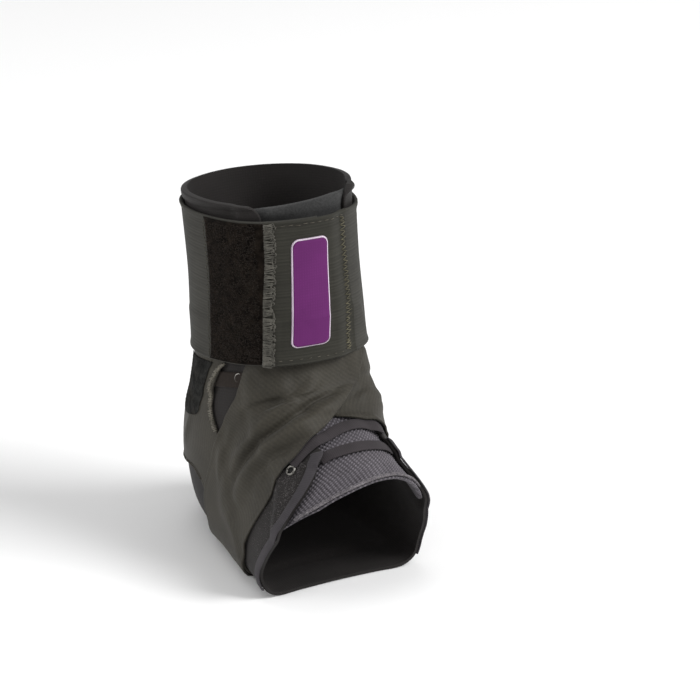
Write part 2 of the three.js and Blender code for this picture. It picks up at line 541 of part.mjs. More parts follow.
// Eyelets are turned rings standing on the boot wall.
const ringProfile = [
  new THREE.Vector2(EYELET_HOLE_R, 0),
  new THREE.Vector2(EYELET_OUTER_R, 0),
  new THREE.Vector2(EYELET_OUTER_R - 0.3, EYELET_THICK),
  new THREE.Vector2(EYELET_HOLE_R + 0.2, EYELET_THICK),
  new THREE.Vector2(EYELET_HOLE_R, 0),
];
for (const [name, { u, v }] of Object.entries(EYELETS)) {
  const lathe = new THREE.LatheGeometry(ringProfile, 10);
  const ring = new THREE.Mesh(lathe, new THREE.MeshStandardMaterial(LOOK.metal));
  ring.name = name;
  ring.quaternion.setFromUnitVectors(new THREE.Vector3(0, 1, 0), hollowNormal(u, v));
  ring.position.copy(onFacets(u, v, height.wallOut, 0.5));
  boot.add(ring);
}

export default brace;
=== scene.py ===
import math

import bmesh
import bpy
import numpy as np
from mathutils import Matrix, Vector


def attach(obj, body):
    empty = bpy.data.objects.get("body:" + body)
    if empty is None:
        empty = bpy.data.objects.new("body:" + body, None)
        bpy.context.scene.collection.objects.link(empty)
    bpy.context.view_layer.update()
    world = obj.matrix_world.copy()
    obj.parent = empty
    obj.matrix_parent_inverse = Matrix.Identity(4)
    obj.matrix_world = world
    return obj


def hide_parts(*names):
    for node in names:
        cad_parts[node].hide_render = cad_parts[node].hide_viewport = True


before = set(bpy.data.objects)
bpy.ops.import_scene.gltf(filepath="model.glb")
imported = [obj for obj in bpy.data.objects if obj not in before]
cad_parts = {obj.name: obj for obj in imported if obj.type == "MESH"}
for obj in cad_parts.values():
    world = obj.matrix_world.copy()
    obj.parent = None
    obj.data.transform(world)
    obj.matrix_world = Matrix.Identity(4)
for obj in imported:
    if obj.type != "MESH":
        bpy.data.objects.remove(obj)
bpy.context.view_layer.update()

# A lace-up ankle brace, right-hand. Sizes below are millimetres; meshes are written in metres.
# ------------------------------------------------------------------ the hollow form
LEAN = math.radians(8)
FOOT_Z = 76.0
AY, AZ = math.sin(LEAN), math.cos(LEAN)


def _leg(h, front, back, half, front_power, back_power):
    return (AY * h - AZ * front, FOOT_Z + AZ * h + AY * front, AY * h + AZ * back, FOOT_Z + AZ * h - AY * back,
            half, half, 0.5, front_power, back_power)


# frontY, frontZ, backY, backZ, medial, lateral, centre, front power, back power
SECTIONS = np.array([
    _leg(126, 43.0, 45.2, 39.0, 2.1, 2.1),
    _leg(104, 40.8, 43.1, 38.5, 2.1, 2.1),
    _leg(68, 40.2, 41.5, 38.2, 2.1, 2.0),
    _leg(36, 38.3, 41.6, 38.4, 2.1, 1.9),
    (-38.5, 98.0, 45.5, 84, 42.0, 41.6, 0.52, 2.1, 1.9),
    (-43.0, 91.0, 51.5, 66, 45.6, 43.4, 0.53, 2.1, 1.9),
    (-49.5, 86.0, 58.5, 46, 46.2, 42.8, 0.52, 2.1, 2.0),
    (-56.5, 82.0, 61.5, 26, 44.6, 41.2, 0.52, 2.1, 2.1),
    (-63.5, 78.5, 51.0, 5, 42.6, 39.8, 0.54, 2.1, 2.3),
    (-70.5, 75.0, 27.0, -2, 41.2, 39.4, 0.58, 2.1, 2.6),
    (-78.5, 71.0, -1.0, -2, 41.2, 40.4, 0.62, 2.1, 2.8),
    (-87.5, 67.0, -27.0, -2, 42.2, 42.4, 0.66, 2.1, 3.0),
    (-97.5, 62.8, -51.0, -2, 43.4, 45.2, 0.68, 2.1, 3.0),
    (-109.0, 58.0, -77.0, -2, 44.2, 47.6, 0.7, 2.1, 3.0),
    (-123.0, 53.0, -105.0, -2, 46.4, 49.4, 0.7, 2.1, 3.0),
])


def catmull(table, v):
    last = len(table) - 1
    i = np.clip(np.floor(v).astype(int), 0, last - 1)
    t = (np.asarray(v, float) - i)[..., None]
    p1, p2 = table[i], table[i + 1]
    p0 = np.where((i > 0)[..., None], table[np.maximum(i - 1, 0)], 2 * p1 - p2)
    p3 = np.where((i + 2 <= last)[..., None], table[np.minimum(i + 2, last)], 2 * p2 - p1)
    return p1 + 0.5 * t * (p2 - p0 + t * (2 * p0 - 5 * p1 + 4 * p2 - p3 + t * (3 * (p1 - p2) + p3 - p0)))


def form(u, v):
    u, v = np.broadcast_arrays(np.asarray(u, float), np.asarray(v, float))
    fy, fz, by, bz, med, lat, centre, fp, bp = np.moveaxis(catmull(SECTIONS, v), -1, 0)
    a = np.radians(u)
    c, s = np.cos(a), np.sin(a)
    cy, cz = fy + (by - fy) * centre, fz + (bz - fz) * centre
    dy, dz = np.where(c > 0, fy, by) - cy, np.where(c > 0, fz, bz) - cz
    reach, width, power = np.hypot(dy, dz), np.where(s > 0, med, lat), np.where(c > 0, fp, bp)
    along, across = np.abs(reach * c), np.abs(width * s)
    size = np.hypot(along, across) + 1e-9
    ca, sa = along / size, across / size
    r = ((ca / reach) ** power + (sa / width) ** power) ** (-1 / power)
    k = r * ca / reach
    return np.stack([np.sign(s) * r * sa, cy + k * dy, cz + k * dz], -1)


def form_normal(u, v):
    du = form(u + 0.6, v) - form(u - 0.6, v)
    dv = form(u, v + 0.012) - form(u, v - 0.012)
    n = np.cross(dv, du)
    return n / (np.linalg.norm(n, axis=-1, keepdims=True) + 1e-12)


def step(x, a, b):
    t = np.clip((np.asarray(x, float) - a) / (b - a), 0, 1)
    return t * t * (3 - 2 * t)


# ------------------------------------------------------------------ outlines, as in the frame
LATERAL_EDGE = np.array([(-46, .69), (-39, .74), (-34.5, .88), (-33, 1.05), (-31.5, 1.6), (-29, 2.5), (-27, 3.6), (-25, 5),
                         (-23, 6.5), (-20.5, 8), (-18.6, 9), (-19.5, 9.4), (-22.5, 9.7), (-32, 10.6), (-43.5, 11.3),
                         (-59, 11.85), (-81, 12.05), (-105, 12.2), (-122, 12.45), (-142, 12.55)])
MEDIAL_EDGE = np.array([(42, .56), (36, .68), (32, .9), (31, 1.6), (30, 2.5), (29, 3.6), (28, 5), (27, 6.5), (28.5, 7.6),
                        (32, 8.4), (36, 9.3), (41, 10.2), (48, 11.1), (60, 11.8), (81, 12.1), (105, 12.25), (122, 12.45),
                        (142, 12.55)])
RIM = np.array([(-180, .5), (-150, .53), (-119, .57), (-84, .62), (-61, .67), (-46, .69), (46, .55), (61, .5), (84, .48),
                (119, .48), (150, .49), (180, .5)])
TONGUE_HALF = np.array([(.6, 46), (2, 46), (4, 44), (6, 42), (8, 42), (9.5, 46), (10.8, 55), (11.5, 63), (12.2, 64)])
TONGUE_TOP = np.array([(-46, .8), (-33, .76), (-6, .7), (21, .64), (46, .66)])
TONGUE_TOE = np.array([(-64, 11.6), (-60, 11.78), (-36, 12.03), (-16, 11.88), (4, 11.65), (22, 11.52), (43, 11.55),
                       (60, 11.75), (64, 11.6)])
# rear edge u, v and front edge u, v of the outer strap, station by station
STRAP = np.array([
    (-33, 2.35, 50, 2.45), (-44, 2.9, 40, 3.1), (-52.5, 3.8, 29, 4.03), (-58.5, 4.8, 17, 5.1), (-63, 5.35, 6, 6.2),
    (-67.5, 5.9, -6, 7.15), (-74, 6.6, -20, 8.0), (-81, 7.3, -31.5, 8.85), (-88, 7.75, -46, 9.5), (-96, 8.15, -62, 10.3),
    (-105, 8.6, -84, 10.8), (-115, 9.1, -106, 11.25), (-128, 9.3, -128, 11.4), (-150, 9.4, -150, 11.45),
    (-180, 9.45, -180, 11.45), (-210, 9.4, -210, 11.45), (-232, 9.3, -232, 11.4), (-245, 9.2, -248, 11.2),
    (-253, 8.8, -265, 10.4), (-260, 8.3, -278, 9.3), (-261, 7.8, -285, 8.2), (-256, 7.35, -288.5, 7.0),
    (-242, 7.1, -289, 6.03), (-230, 6.95, -288, 5.2), (-217, 6.5, -287, 4.5), (-210, 5.7, -288, 3.9),
    (-212, 4.6, -292.5, 3.4), (-218, 3.5, -297, 2.9), (-223, 2.5, -300, 2.4)])
INNER = STRAP * np.array([-1, 1, -1, 1.0])
for station, rise in ((4, -.1), (5, -.35), (6, -.7), (7, -1.2), (8, -1.0), (9, -.7), (10, -.3)):
    INNER[station, 3] += rise
FLAP_EDGE = np.array([(.97, -30.8), (1.57, -31.5), (2.1, -33.8), (2.73, -34.5), (3.26, -35.2)])
FLAP_RIGHT = 28.07
PILE_LEFT, PILE_RIGHT = -74.0, -12.0
CUFF_FROM, CUFF_TO = 28.12, 365.0


def cuff_top(u):
    return 0.885 + 0.12 * np.cos(np.radians(u))


def cuff_bottom(u):
    return 3.18 + 0.09 * np.cos(np.radians(u))


def table(t, x):
    return np.interp(x, t[:, 0], t[:, 1])


def smooth_line(points, n):
    """Catmull-Rom through rows of a table, at n even steps of length."""
    points = np.asarray(points, float)
    dense = catmull(points, np.linspace(0, len(points) - 1, 24 * len(points)))
    if points.shape[1] == 4:
        place = np.concatenate([form(dense[:, 0], dense[:, 1]), form(dense[:, 2], dense[:, 3])], 1)
    else:
        place = form(dense[:, 0], dense[:, 1])
    run = np.concatenate([[0], np.cumsum(np.linalg.norm(np.diff(place, axis=0), axis=1))])
    at = np.linspace(0, run[-1], n)
    return np.stack([np.interp(at, run, dense[:, k]) for k in range(dense.shape[1])], 1)


# ------------------------------------------------------------------ distance fields over the form
GU, GV = np.arange(-180, 180, 1.0), np.arange(0.2, 13.01, 0.05)
FU, FV = np.meshgrid(GU, GV)
FP = form(FU, FV)
FLAT = FP.reshape(-1, 3)


def distance_to(points):
    out = np.empty(len(FLAT))
    q2 = (points ** 2).sum(1)
    for a in range(0, len(FLAT), 20000):
        p = FLAT[a:a + 20000]
        out[a:a + 20000] = np.sqrt(np.maximum(((p ** 2).sum(1)[:, None] + q2[None] - 2 * p @ points.T).min(1), 0))
    return out.reshape(FU.shape)


def dense_outline(outline):
    out = []
    for p, q in zip(outline, np.roll(outline, -1, axis=0)):
        n = max(1, int(np.ceil(np.hypot((q[0] - p[0]) * .75, (q[1] - p[1]) * 14) / 1.2)))
        out.append(p + (q - p) * (np.arange(n) / n)[:, None])
    return np.concatenate(out)


def inside(outline):
    """Signed distance in mm over the field grid, positive inside."""
    outline = np.asarray(outline, float)
    dense = dense_outline(outline)
    d = distance_to(form(dense[:, 0], dense[:, 1]))
    held = np.zeros(FU.shape, bool)
    for turn in (-360, 0, 360):
        u, hit = FU + turn, np.zeros(FU.shape, bool)
        for a, b in zip(outline, np.roll(outline, 1, axis=0)):
            if a[1] == b[1]:
                continue
            cross = (a[1] > FV) != (b[1] > FV)
            hit ^= cross & (u < (b[0] - a[0]) * (FV - a[1]) / (b[1] - a[1]) + a[0])
        held |= hit
    return np.where(held, d, -d)


def near_path(path, n=90):
    line = smooth_line(path, n)
    return distance_to(form(line[:, 0], line[:, 1]))


def look_up(field, u, v):
    x = (np.asarray(u, float) + 180) % 360
    y = np.clip((np.asarray(v, float) - GV[0]) / .05, 0, len(GV) - 1.001)
    i, j = np.floor(x).astype(int), np.floor(y).astype(int)
    s, t = x - i, y - j
    i, i1 = i % 360, (i + 1) % 360
    return ((field[j, i] * (1 - s) + field[j, i1] * s) * (1 - t) + (field[j + 1, i] * (1 - s) + field[j + 1, i1] * s) * t)


lateral_outline = np.concatenate([[(-179.95, .5), (-150, .53), (-119, .57), (-84, .62), (-61, .67)], LATERAL_EDGE,
                                  [(-179.95, 12.55)]])
medial_outline = np.concatenate([[(179.95, .5), (150, .49), (119, .48), (84, .48), (61, .5)], MEDIAL_EDGE,
                                 [(179.95, 12.55)]])
v_side = np.linspace(.75, 11.6, 30)
tongue_outline = np.concatenate([
    np.stack([-table(TONGUE_HALF, v_side), v_side], 1), TONGUE_TOE[1:-1],
    np.stack([table(TONGUE_HALF, v_side), v_side], 1)[::-1], TONGUE_TOP[::-1]])
D_TONGUE = inside(tongue_outline)
D_WALL = np.maximum(inside(lateral_outline), inside(medial_outline))
D_OUTER = inside(np.concatenate([STRAP[:, :2], STRAP[::-1, 2:]]))
D_INNER = inside(np.concatenate([INNER[:, :2], INNER[::-1, 2:]]))

CROSS_LACE = [(-36.5, 9.25), (-33, 9.05), (-28, 8.75), (-20, 8.35), (-8, 7.85), (5, 7.5), (16, 7.5), (24, 7.75), (33, 8.1)]
FRONT_LACE = [(-22, 9.5), (-16, 9.36), (-5, 9.28), (8, 9.25), (20, 9.28), (29, 9.3), (38, 9.45)]
UPPER_LATERAL = [(-90, 3.8), (-84, 3.78), (-72, 3.72), (-62, 3.7), (-50, 3.68), (-42, 3.7)]
UPPER_MEDIAL = [(-u, v) for u, v in UPPER_LATERAL]
D_CROSS, D_FRONT = near_path(CROSS_LACE), near_path(FRONT_LACE)
D_UPPER = np.minimum(near_path(UPPER_LATERAL), near_path(UPPER_MEDIAL))

TONGUE_T, WALL_T, STRAP_T, LACE_T, CUFF_T, PILE_T = 2.4, 1.8, 1.2, 1.0, 1.8, 0.8
GAP = 0.3
H = {}
H["tongue_in"] = np.full(FU.shape, .2)
H["tongue_out"] = H["tongue_in"] + TONGUE_T
H["wall_in"] = .2 + (TONGUE_T + GAP) * step(D_TONGUE, -7, 0) + 1.1 * step(D_FRONT, 7, 3.5)
H["wall_out"] = H["wall_in"] + WALL_T
H["boot"] = H["tongue_out"] + (H["wall_out"] - H["tongue_out"]) * step(D_WALL, -7, 0)
H["laced"] = H["boot"] + np.maximum(step(D_CROSS, 8, 3.4), step(D_UPPER, 9, 4.6)) * (LACE_T + GAP)
H["inner_in"] = H["laced"] + GAP
H["inner_out"] = H["inner_in"] + STRAP_T
H["crossed"] = H["laced"] + (STRAP_T + GAP) * step(D_INNER, -6, 0)
H["outer_in"] = H["crossed"] + GAP
H["outer_out"] = H["outer_in"] + STRAP_T
H["strapped"] = H["crossed"] + (STRAP_T + GAP) * step(D_OUTER, -6, 0)

# folds on the instep part of the outer strap: (u, v) lines with height in mm and half width in mm
FOLDS = [
    (3.6, 6.0, [(4, 4.9), (-8, 5.35), (-18.5, 5.9), (-32, 6.56), (-43.5, 7.02), (-54.5, 7.6), (-70, 8.4)]),
    (5.0, 3.3, [(-6, 3.9), (-13.5, 4.4), (-26.5, 5.34), (-40, 6.1), (-49.5, 6.8), (-57.5, 7.3), (-66, 7.8)]),
    (5.2, 4.0, [(14, 5.0), (3.5, 5.76), (-14.5, 6.72), (-32, 7.36), (-46.5, 7.74), (-60.5, 8.48), (-74, 9.2)]),
    (2.0, 3.2, [(-14, 3.7), (-20.5, 3.95), (-35.5, 4.2), (-47, 4.7), (-54, 5.4)]),
    (1.2, 4.2, [(-62, 7.5), (-73.5, 8.28), (-84.5, 9.16), (-88.5, 10.28), (-89, 11.0)]),
    (1.3, 1.6, [(26, 4.6), (14, 5.4), (4, 6.3), (-6, 6.95)]),
    (1.4, 1.6, [(-36, 8.6), (-44, 8.5), (-54, 8.9), (-64, 9.7)]),
    (1.3, 1.7, [(-60, 5.9), (-66, 6.7), (-74, 7.5), (-80, 8.4)]),
]
# tucks pressed into those folds
TUCKS = [
    (4.2, 1.5, [(2, 5.0), (-8, 5.35), (-18.5, 5.9), (-32, 6.56), (-43.5, 7.02), (-54.5, 7.6), (-70, 8.4)]),
    (2.6, 1.6, [(-16, 4.85), (-26, 4.9), (-37.5, 4.98), (-48, 5.2)]),
    (1.6, 1.3, [(-10, 7.6), (-24, 8.0), (-40, 8.2), (-54, 8.7)]),
]
INNER_FOLDS = [
    (1.5, 2.6, [(12, 5.5), (22, 5.45), (32, 5.55), (46, 5.9), (60, 6.3)]),
    (1.3, 2.8, [(34, 6.3), (44, 6.4), (58, 6.9), (72, 7.4)]),
    (1.2, 1.6, [(-96, 5.4), (-104, 6.0), (-112, 6.5)]),
]


def fold_field(folds):
    total = np.zeros(FU.shape)
    for height, width, path in folds:
        line = smooth_line(path, 60)
        share = np.sin(np.pi * np.linspace(.06, .94, 60)) ** .6
        points = form(line[:, 0], line[:, 1])
        d2 = ((FLAT[:, None, :] - points[None, ::2]) ** 2).sum(-1)
        one = (height * share[::2][None] * np.exp(-d2 / (2 * width ** 2))).max(1).reshape(FU.shape)
        total = np.maximum(total, one) + .25 * np.minimum(total, one)
    return total


def place(u, v, h):
    """Points at height h mm over the form, laid flat where they would be under the sole."""
    p = form(u, v) + form_normal(u, v) * np.asarray(h, float)[..., None]
    floor = look_up(H["strapped"], u, v) - h
    d = p[..., 2] - floor
    soft = np.where(d > 2, p[..., 2], np.where(d < -2, floor, floor + (d + 2) ** 2 / 8))
    p[..., 2] = soft
    return p


# ------------------------------------------------------------------ mesh helpers
def new_object(name, verts, faces, uvs=None, smooth=True):
    mesh = bpy.data.meshes.new(name)
    verts = np.asarray(verts, float) / 1000
    counts = np.array([len(f) for f in faces], int) if isinstance(faces, list) else np.full(len(faces), faces.shape[1])
    flat = np.concatenate([np.asarray(f) for f in faces]) if isinstance(faces, list) else faces.reshape(-1)
    mesh.vertices.add(len(verts))
    mesh.vertices.foreach_set("co", verts.reshape(-1))
    mesh.loops.add(len(flat))
    mesh.loops.foreach_set("vertex_index", flat)
    mesh.polygons.add(len(counts))
    mesh.polygons.foreach_set("loop_start", np.concatenate([[0], np.cumsum(counts)[:-1]]))
    mesh.polygons.foreach_set("loop_total", counts)
    mesh.update(calc_edges=True)
    if uvs is not None:
        layer = mesh.uv_layers.new(name="UVMap")
        layer.data.foreach_set("uv", np.asarray(uvs, float)[flat].reshape(-1))
    if smooth:
        mesh.shade_smooth()
    mesh.validate()
    # points that fall together at a thin edge become one, and the faces look outwards
    bm = bmesh.new()
    bm.from_mesh(mesh)
    bmesh.ops.remove_doubles(bm, verts=bm.verts, dist=1e-7)
    if bm.calc_volume(signed=True) < 0:
        bmesh.ops.reverse_faces(bm, faces=bm.faces)
    bm.to_mesh(mesh)
    bm.free()
    obj = bpy.data.objects.new(name, mesh)
    bpy.context.scene.collection.objects.link(obj)
    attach(obj, "root")
    return obj


def grid_faces(index):
    return np.stack([index[:-1, :-1], index[:-1, 1:], index[1:, 1:], index[1:, :-1]], -1).reshape(-1, 4)


def run_lengths(P, axis):
    d = np.linalg.norm(np.diff(P, axis=axis), axis=-1)
    zero = np.zeros_like(np.take(d, [0], axis=axis))
    return np.concatenate([zero, np.cumsum(d, axis=axis)], axis=axis)


def edge_steps(total, fine=(0.0, 0.12, 0.35, 0.7, 1.3), n=60):
    """Parameters from 0 to 1 that crowd at both ends, for rounded edges."""
    ends = np.array(fine) / total
    return np.concatenate([ends, np.linspace(ends[-1], 1 - ends[-1], n)[1:-1], 1 - ends[::-1]])


def shell(name, u, v, h_in, h_out, coarse=4, round_r=0.9, relief=None, flip=False, uv_scale=1.0, join_left=False, join_right=False, even_weave=False):
    """A closed cloth wall over a patch of (u, v) nodes, with rounded edges and a coarser inner face.
    relief(s_mm, t_mm, edge_mm) adds height to the outer face."""
    base = place(u, v, h_out)
    s, t = run_lengths(base, 1), run_lengths(base, 0)
    edge = np.minimum(np.minimum(s + (99 if join_left else 0), s[:, -1:] - s + (99 if join_right else 0)),
                      np.minimum(t, t[-1:] - t))
    mid = (h_in + h_out) / 2
    bow = np.sqrt(np.clip(1 - (1 - np.clip(edge / round_r, 0, 1)) ** 2, 0, 1))
    top = mid + (h_out - mid) * bow
    if relief is not None:
        top = top + relief(s, t, edge) * step(edge, 0, round_r)
    low = mid + (h_in - mid) * bow
    # at a join the wall keeps its full thickness: one more column runs down its side
    if join_left:
        u, v, s, t, h_in, low = (np.concatenate([x[:, :1], x], 1) for x in (u, v, s, t, h_in, low))
        top = np.concatenate([low[:, :1], top], 1)
    if join_right:
        u, v, s, t, h_in, low = (np.concatenate([x, x[:, -1:]], 1) for x in (u, v, s, t, h_in, low))
        top = np.concatenate([top, low[:, -1:]], 1)
    outer = place(u, v, top)
    M, N = u.shape
    ri = np.unique(np.append(np.arange(0, M, coarse), M - 1))
    ci = np.unique(np.append(np.arange(0, N, coarse), N - 1))
    inner_bow = low[np.ix_(ri, ci)].copy()
    inner_bow[1:-1, 1:-1] = h_in[np.ix_(ri, ci)][1:-1, 1:-1]
    inner = place(u[np.ix_(ri, ci)], v[np.ix_(ri, ci)], inner_bow)
    idx_o = np.arange(M * N).reshape(M, N)
    m, n = len(ri), len(ci)
    idx_i = M * N + np.arange(m * n).reshape(m, n)
    # the rim of the inner face is the rim of the outer face
    weld = {}
    for a in range(m):
        for b in range(n):
            if a in (0, m - 1) or b in (0, n - 1):
                weld[idx_i[a, b]] = idx_o[ri[a], ci[b]]
    faces = [tuple(f) for f in grid_faces(idx_o)]
    # the four corner cells are cut from the corner inwards, so no cut runs from rim to rim
    last = (M - 2) * (N - 1)
    for k, along_first in sorted([(0, True), (N - 2, False), (last, False), (last + N - 2, True)], reverse=True):
        a0, b0, c0, d0 = faces.pop(k)
        faces += [(a0, b0, c0), (a0, c0, d0)] if along_first else [(b0, c0, d0), (b0, d0, a0)]
    # inner faces, with a fan where they meet the finer rim
    def ring(side):
        return side
    for a in range(m - 1):
        for b in range(n - 1):
            corners = []
            def add(i):
                if not corners or corners[-1] != i:
                    corners.append(i)
            w = lambda i: weld.get(i, i)
            p00, p01, p11, p10 = idx_i[a, b], idx_i[a, b + 1], idx_i[a + 1, b + 1], idx_i[a + 1, b]
            add(w(p00))
            if b == 0:
                for r in range(ri[a] + 1, ri[a + 1]):
                    add(idx_o[r, 0])
            add(w(p10))
            if a == m - 2:
                for c in range(ci[b] + 1, ci[b + 1]):
                    add(idx_o[M - 1, c])
            add(w(p11))
            if b == n - 2:
                for r in range(ri[a + 1] - 1, ri[a], -1):
                    add(idx_o[r, N - 1])
            add(w(p01))
            if a == 0:
                for c in range(ci[b + 1] - 1, ci[b], -1):
                    add(idx_o[0, c])
            if len(corners) <= 4:
                faces.append(tuple(corners))
            else:
                inner_first = next((k for k, i in enumerate(corners) if i >= M * N), 0)
                corners = corners[inner_first:] + corners[:inner_first]
                for k in range(1, len(corners) - 1):
                    faces.append((corners[0], corners[k], corners[k + 1]))
    if not flip:
        faces = [f[::-1] for f in faces]
    verts = np.concatenate([outer.reshape(-1, 3), inner.reshape(-1, 3)])
    if even_weave:  # the weave keeps one angle to the strap's middle line
        s, t = np.broadcast_to(s.mean(0), s.shape), np.broadcast_to(t[:, t.shape[1] // 2][:, None], t.shape)
    uvs = np.concatenate([np.stack([s, t], -1).reshape(-1, 2), np.stack([s[np.ix_(ri, ci)], t[np.ix_(ri, ci)]], -1).reshape(-1, 2)])
    used = np.zeros(len(verts), bool)
    for f in faces:
        used[list(f)] = True
    remap = np.cumsum(used) - 1
    faces = [tuple(int(remap[i]) for i in f) for f in faces]
    obj = new_object(name, verts[used], faces, uvs[used] * uv_scale / 10)
    if join_left or join_right:
        obj.data.set_sharp_from_angle(angle=math.radians(62))
    return obj


def frames_along(points, normals):
    t = np.gradient(points, axis=0)
    t /= np.linalg.norm(t, axis=1, keepdims=True) + 1e-12
    side = np.cross(t, normals)
    side /= np.linalg.norm(side, axis=1, keepdims=True) + 1e-12
    up = np.cross(side, t)
    return t, side, up


def tubes(name, lines, radii, sides=6, taper=True):
    """One mesh of many little closed tubes. lines: list of (k, 3) points in mm."""
    verts, faces, at = [], [], 0
    ang = np.arange(sides) * 2 * np.pi / sides
    for line, radius in zip(lines, radii):
        k = len(line)
        t = np.gradient(line, axis=0)
        t /= np.linalg.norm(t, axis=1, keepdims=True) + 1e-12
        ref = np.where(np.abs(t[:, 2:3]) > .9, np.array([[1.0, 0, 0]]), np.array([[0, 0, 1.0]]))
        a = np.cross(t, ref)
        a /= np.linalg.norm(a, axis=1, keepdims=True) + 1e-12
        b = np.cross(t, a)
        r = np.full(k, radius, float)
        if taper:
            r[0] *= .45
            r[-1] *= .45
        ring = line[:, None] + (a[:, None] * np.cos(ang)[None, :, None] + b[:, None] * np.sin(ang)[None, :, None]) * r[:, None, None]
        verts.append(ring.reshape(-1, 3))
        idx = at + np.arange(k * sides).reshape(k, sides)
        nxt = np.roll(idx, -1, axis=1)
        faces.extend(map(tuple, np.stack([idx[:-1], nxt[:-1], nxt[1:], idx[1:]], -1).reshape(-1, 4).tolist()))
        faces.append(tuple(idx[0][::-1].tolist()))
        faces.append(tuple(idx[-1].tolist()))
        at += k * sides
    return new_object(name, np.concatenate(verts), [f[::-1] for f in faces])


# ------------------------------------------------------------------ materials
def linear(rgb):
    return tuple(((c / 255) / 12.92 if c <= 10.3 else ((c / 255 + .055) / 1.055) ** 2.4) for c in rgb) + (1,)


class Cloth:
    """Small builder for procedural cloth materials."""

    def __init__(self, name, rgb, rough=.85, sheen=.25, metallic=0.0, specular=.35):
        self.mat = bpy.data.materials.new(name)
        self.mat.use_nodes = True
        self.nt = self.mat.node_tree
        self.bsdf = self.nt.nodes["Principled BSDF"]
        self.bsdf.inputs["Roughness"].default_value = rough
        self.bsdf.inputs["Metallic"].default_value = metallic
        self.bsdf.inputs["Specular IOR Level"].default_value = specular
        if sheen:
            self.bsdf.inputs["Sheen Weight"].default_value = sheen
            self.bsdf.inputs["Sheen Roughness"].default_value = .5
        self.uv = self.node("ShaderNodeTexCoord").outputs["UV"]
        self.obj = self.nt.nodes[-1].outputs["Object"]
        self.color = self.rgb(rgb)
        self.height = None

    def node(self, kind, **props):
        n = self.nt.nodes.new(kind)
        for k, val in props.items():
            setattr(n, k, val)
        return n

    def link(self, a, b):
        self.nt.links.new(a, b)

    def rgb(self, rgb):
        n = self.node("ShaderNodeRGB")
        n.outputs[0].default_value = linear(rgb)
        return n.outputs[0]

    def math(self, op, a, b=None, c=None):
        n = self.node("ShaderNodeMath", operation=op)
        for socket, val in zip(n.inputs, (a, b, c)):
            if val is None:
                continue
            if isinstance(val, (int, float)):
                socket.default_value = val
            else:
                self.link(val, socket)
        return n.outputs[0]

    def uvw(self, su=1.0, sv=1.0, turn=0.0):
        n = self.node("ShaderNodeMapping")
        n.inputs["Scale"].default_value = (su, sv, 1)
        n.inputs["Rotation"].default_value = (0, 0, math.radians(turn))
        self.link(self.uv, n.inputs["Vector"])
        return n.outputs[0]

    def noise(self, scale, detail=3, rough=.55, vector=None, dims="3D"):
        n = self.node("ShaderNodeTexNoise", noise_dimensions=dims)
        n.inputs["Scale"].default_value = scale
        n.inputs["Detail"].default_value = detail
        n.inputs["Roughness"].default_value = rough
        self.link(vector if vector is not None else self.obj, n.inputs["Vector"])
        return n.outputs["Fac"]

    def wave(self, vector, period_mm, distortion=0.0, detail=0.0, dscale=1.0, profile="SIN", direction="X"):
        """Bands on the UV map, whose unit is 10 mm."""
        n = self.node("ShaderNodeTexWave", wave_type="BANDS", bands_direction=direction, wave_profile=profile)
        n.inputs["Scale"].default_value = 10 / period_mm * (2 * math.pi) / 20
        n.inputs["Distortion"].default_value = distortion
        n.inputs["Detail"].default_value = detail
        n.inputs["Detail Scale"].default_value = dscale
        self.link(vector, n.inputs["Vector"])
        return n.outputs["Fac"]

    def ramp(self, fac, low, high, a=0.0, b=1.0):
        n = self.node("ShaderNodeMapRange")
        n.interpolation_type = "SMOOTHSTEP"
        n.inputs["From Min"].default_value = a
        n.inputs["From Max"].default_value = b
        n.inputs["To Min"].default_value = low
        n.inputs["To Max"].default_value = high
        self.link(fac, n.inputs["Value"])
        return n.outputs["Result"]

    def mix(self, fac, rgb):
        """Mixes the running colour towards rgb."""
        n = self.node("ShaderNodeMix", data_type="RGBA")
        if isinstance(fac, (int, float)):
            n.inputs[0].default_value = fac
        else:
            self.link(fac, n.inputs[0])
        self.link(self.color, n.inputs[6])
        if isinstance(rgb, tuple):
            n.inputs[7].default_value = linear(rgb)
        else:
            self.link(rgb, n.inputs[7])
        self.color = n.outputs[2]

    def shade(self, fac):
        """Multiplies the running colour by a grey value."""
        n = self.node("ShaderNodeMix", data_type="RGBA", blend_type="MULTIPLY")
        n.inputs[0].default_value = 1
        self.link(self.color, n.inputs[6])
        self.link(fac, n.inputs[7])
        self.color = n.outputs[2]

    def bump(self, height, distance_mm, strength=1.0):
        n = self.node("ShaderNodeBump")
        n.inputs["Strength"].default_value = strength
        n.inputs["Distance"].default_value = distance_mm / 1000
        self.link(height, n.inputs["Height"])
        if self.height is not None:
            self.link(self.height, n.inputs["Normal"])
        self.height = n.outputs["Normal"]

    def done(self):
        self.link(self.color, self.bsdf.inputs["Base Color"])
        if self.height is not None:
            self.link(self.height, self.bsdf.inputs["Normal"])
        return self.mat


def strap_material():
    c = Cloth("strap_nylon", (52, 49, 42), rough=.62, sheen=.05, specular=.2)
    diag = c.wave(c.uvw(turn=52), 1.7, distortion=.8, detail=1.5, dscale=2)
    c.shade(c.ramp(diag, .92, 1.06))
    c.shade(c.ramp(c.noise(42, 4), .84, 1.12, .3, .7))
    c.shade(c.ramp(c.noise(900, 2), .9, 1.1, .3, .7))
    c.bump(diag, .075, .5)
    c.bump(c.noise(260, 4), .12, .5)
    return c.done()


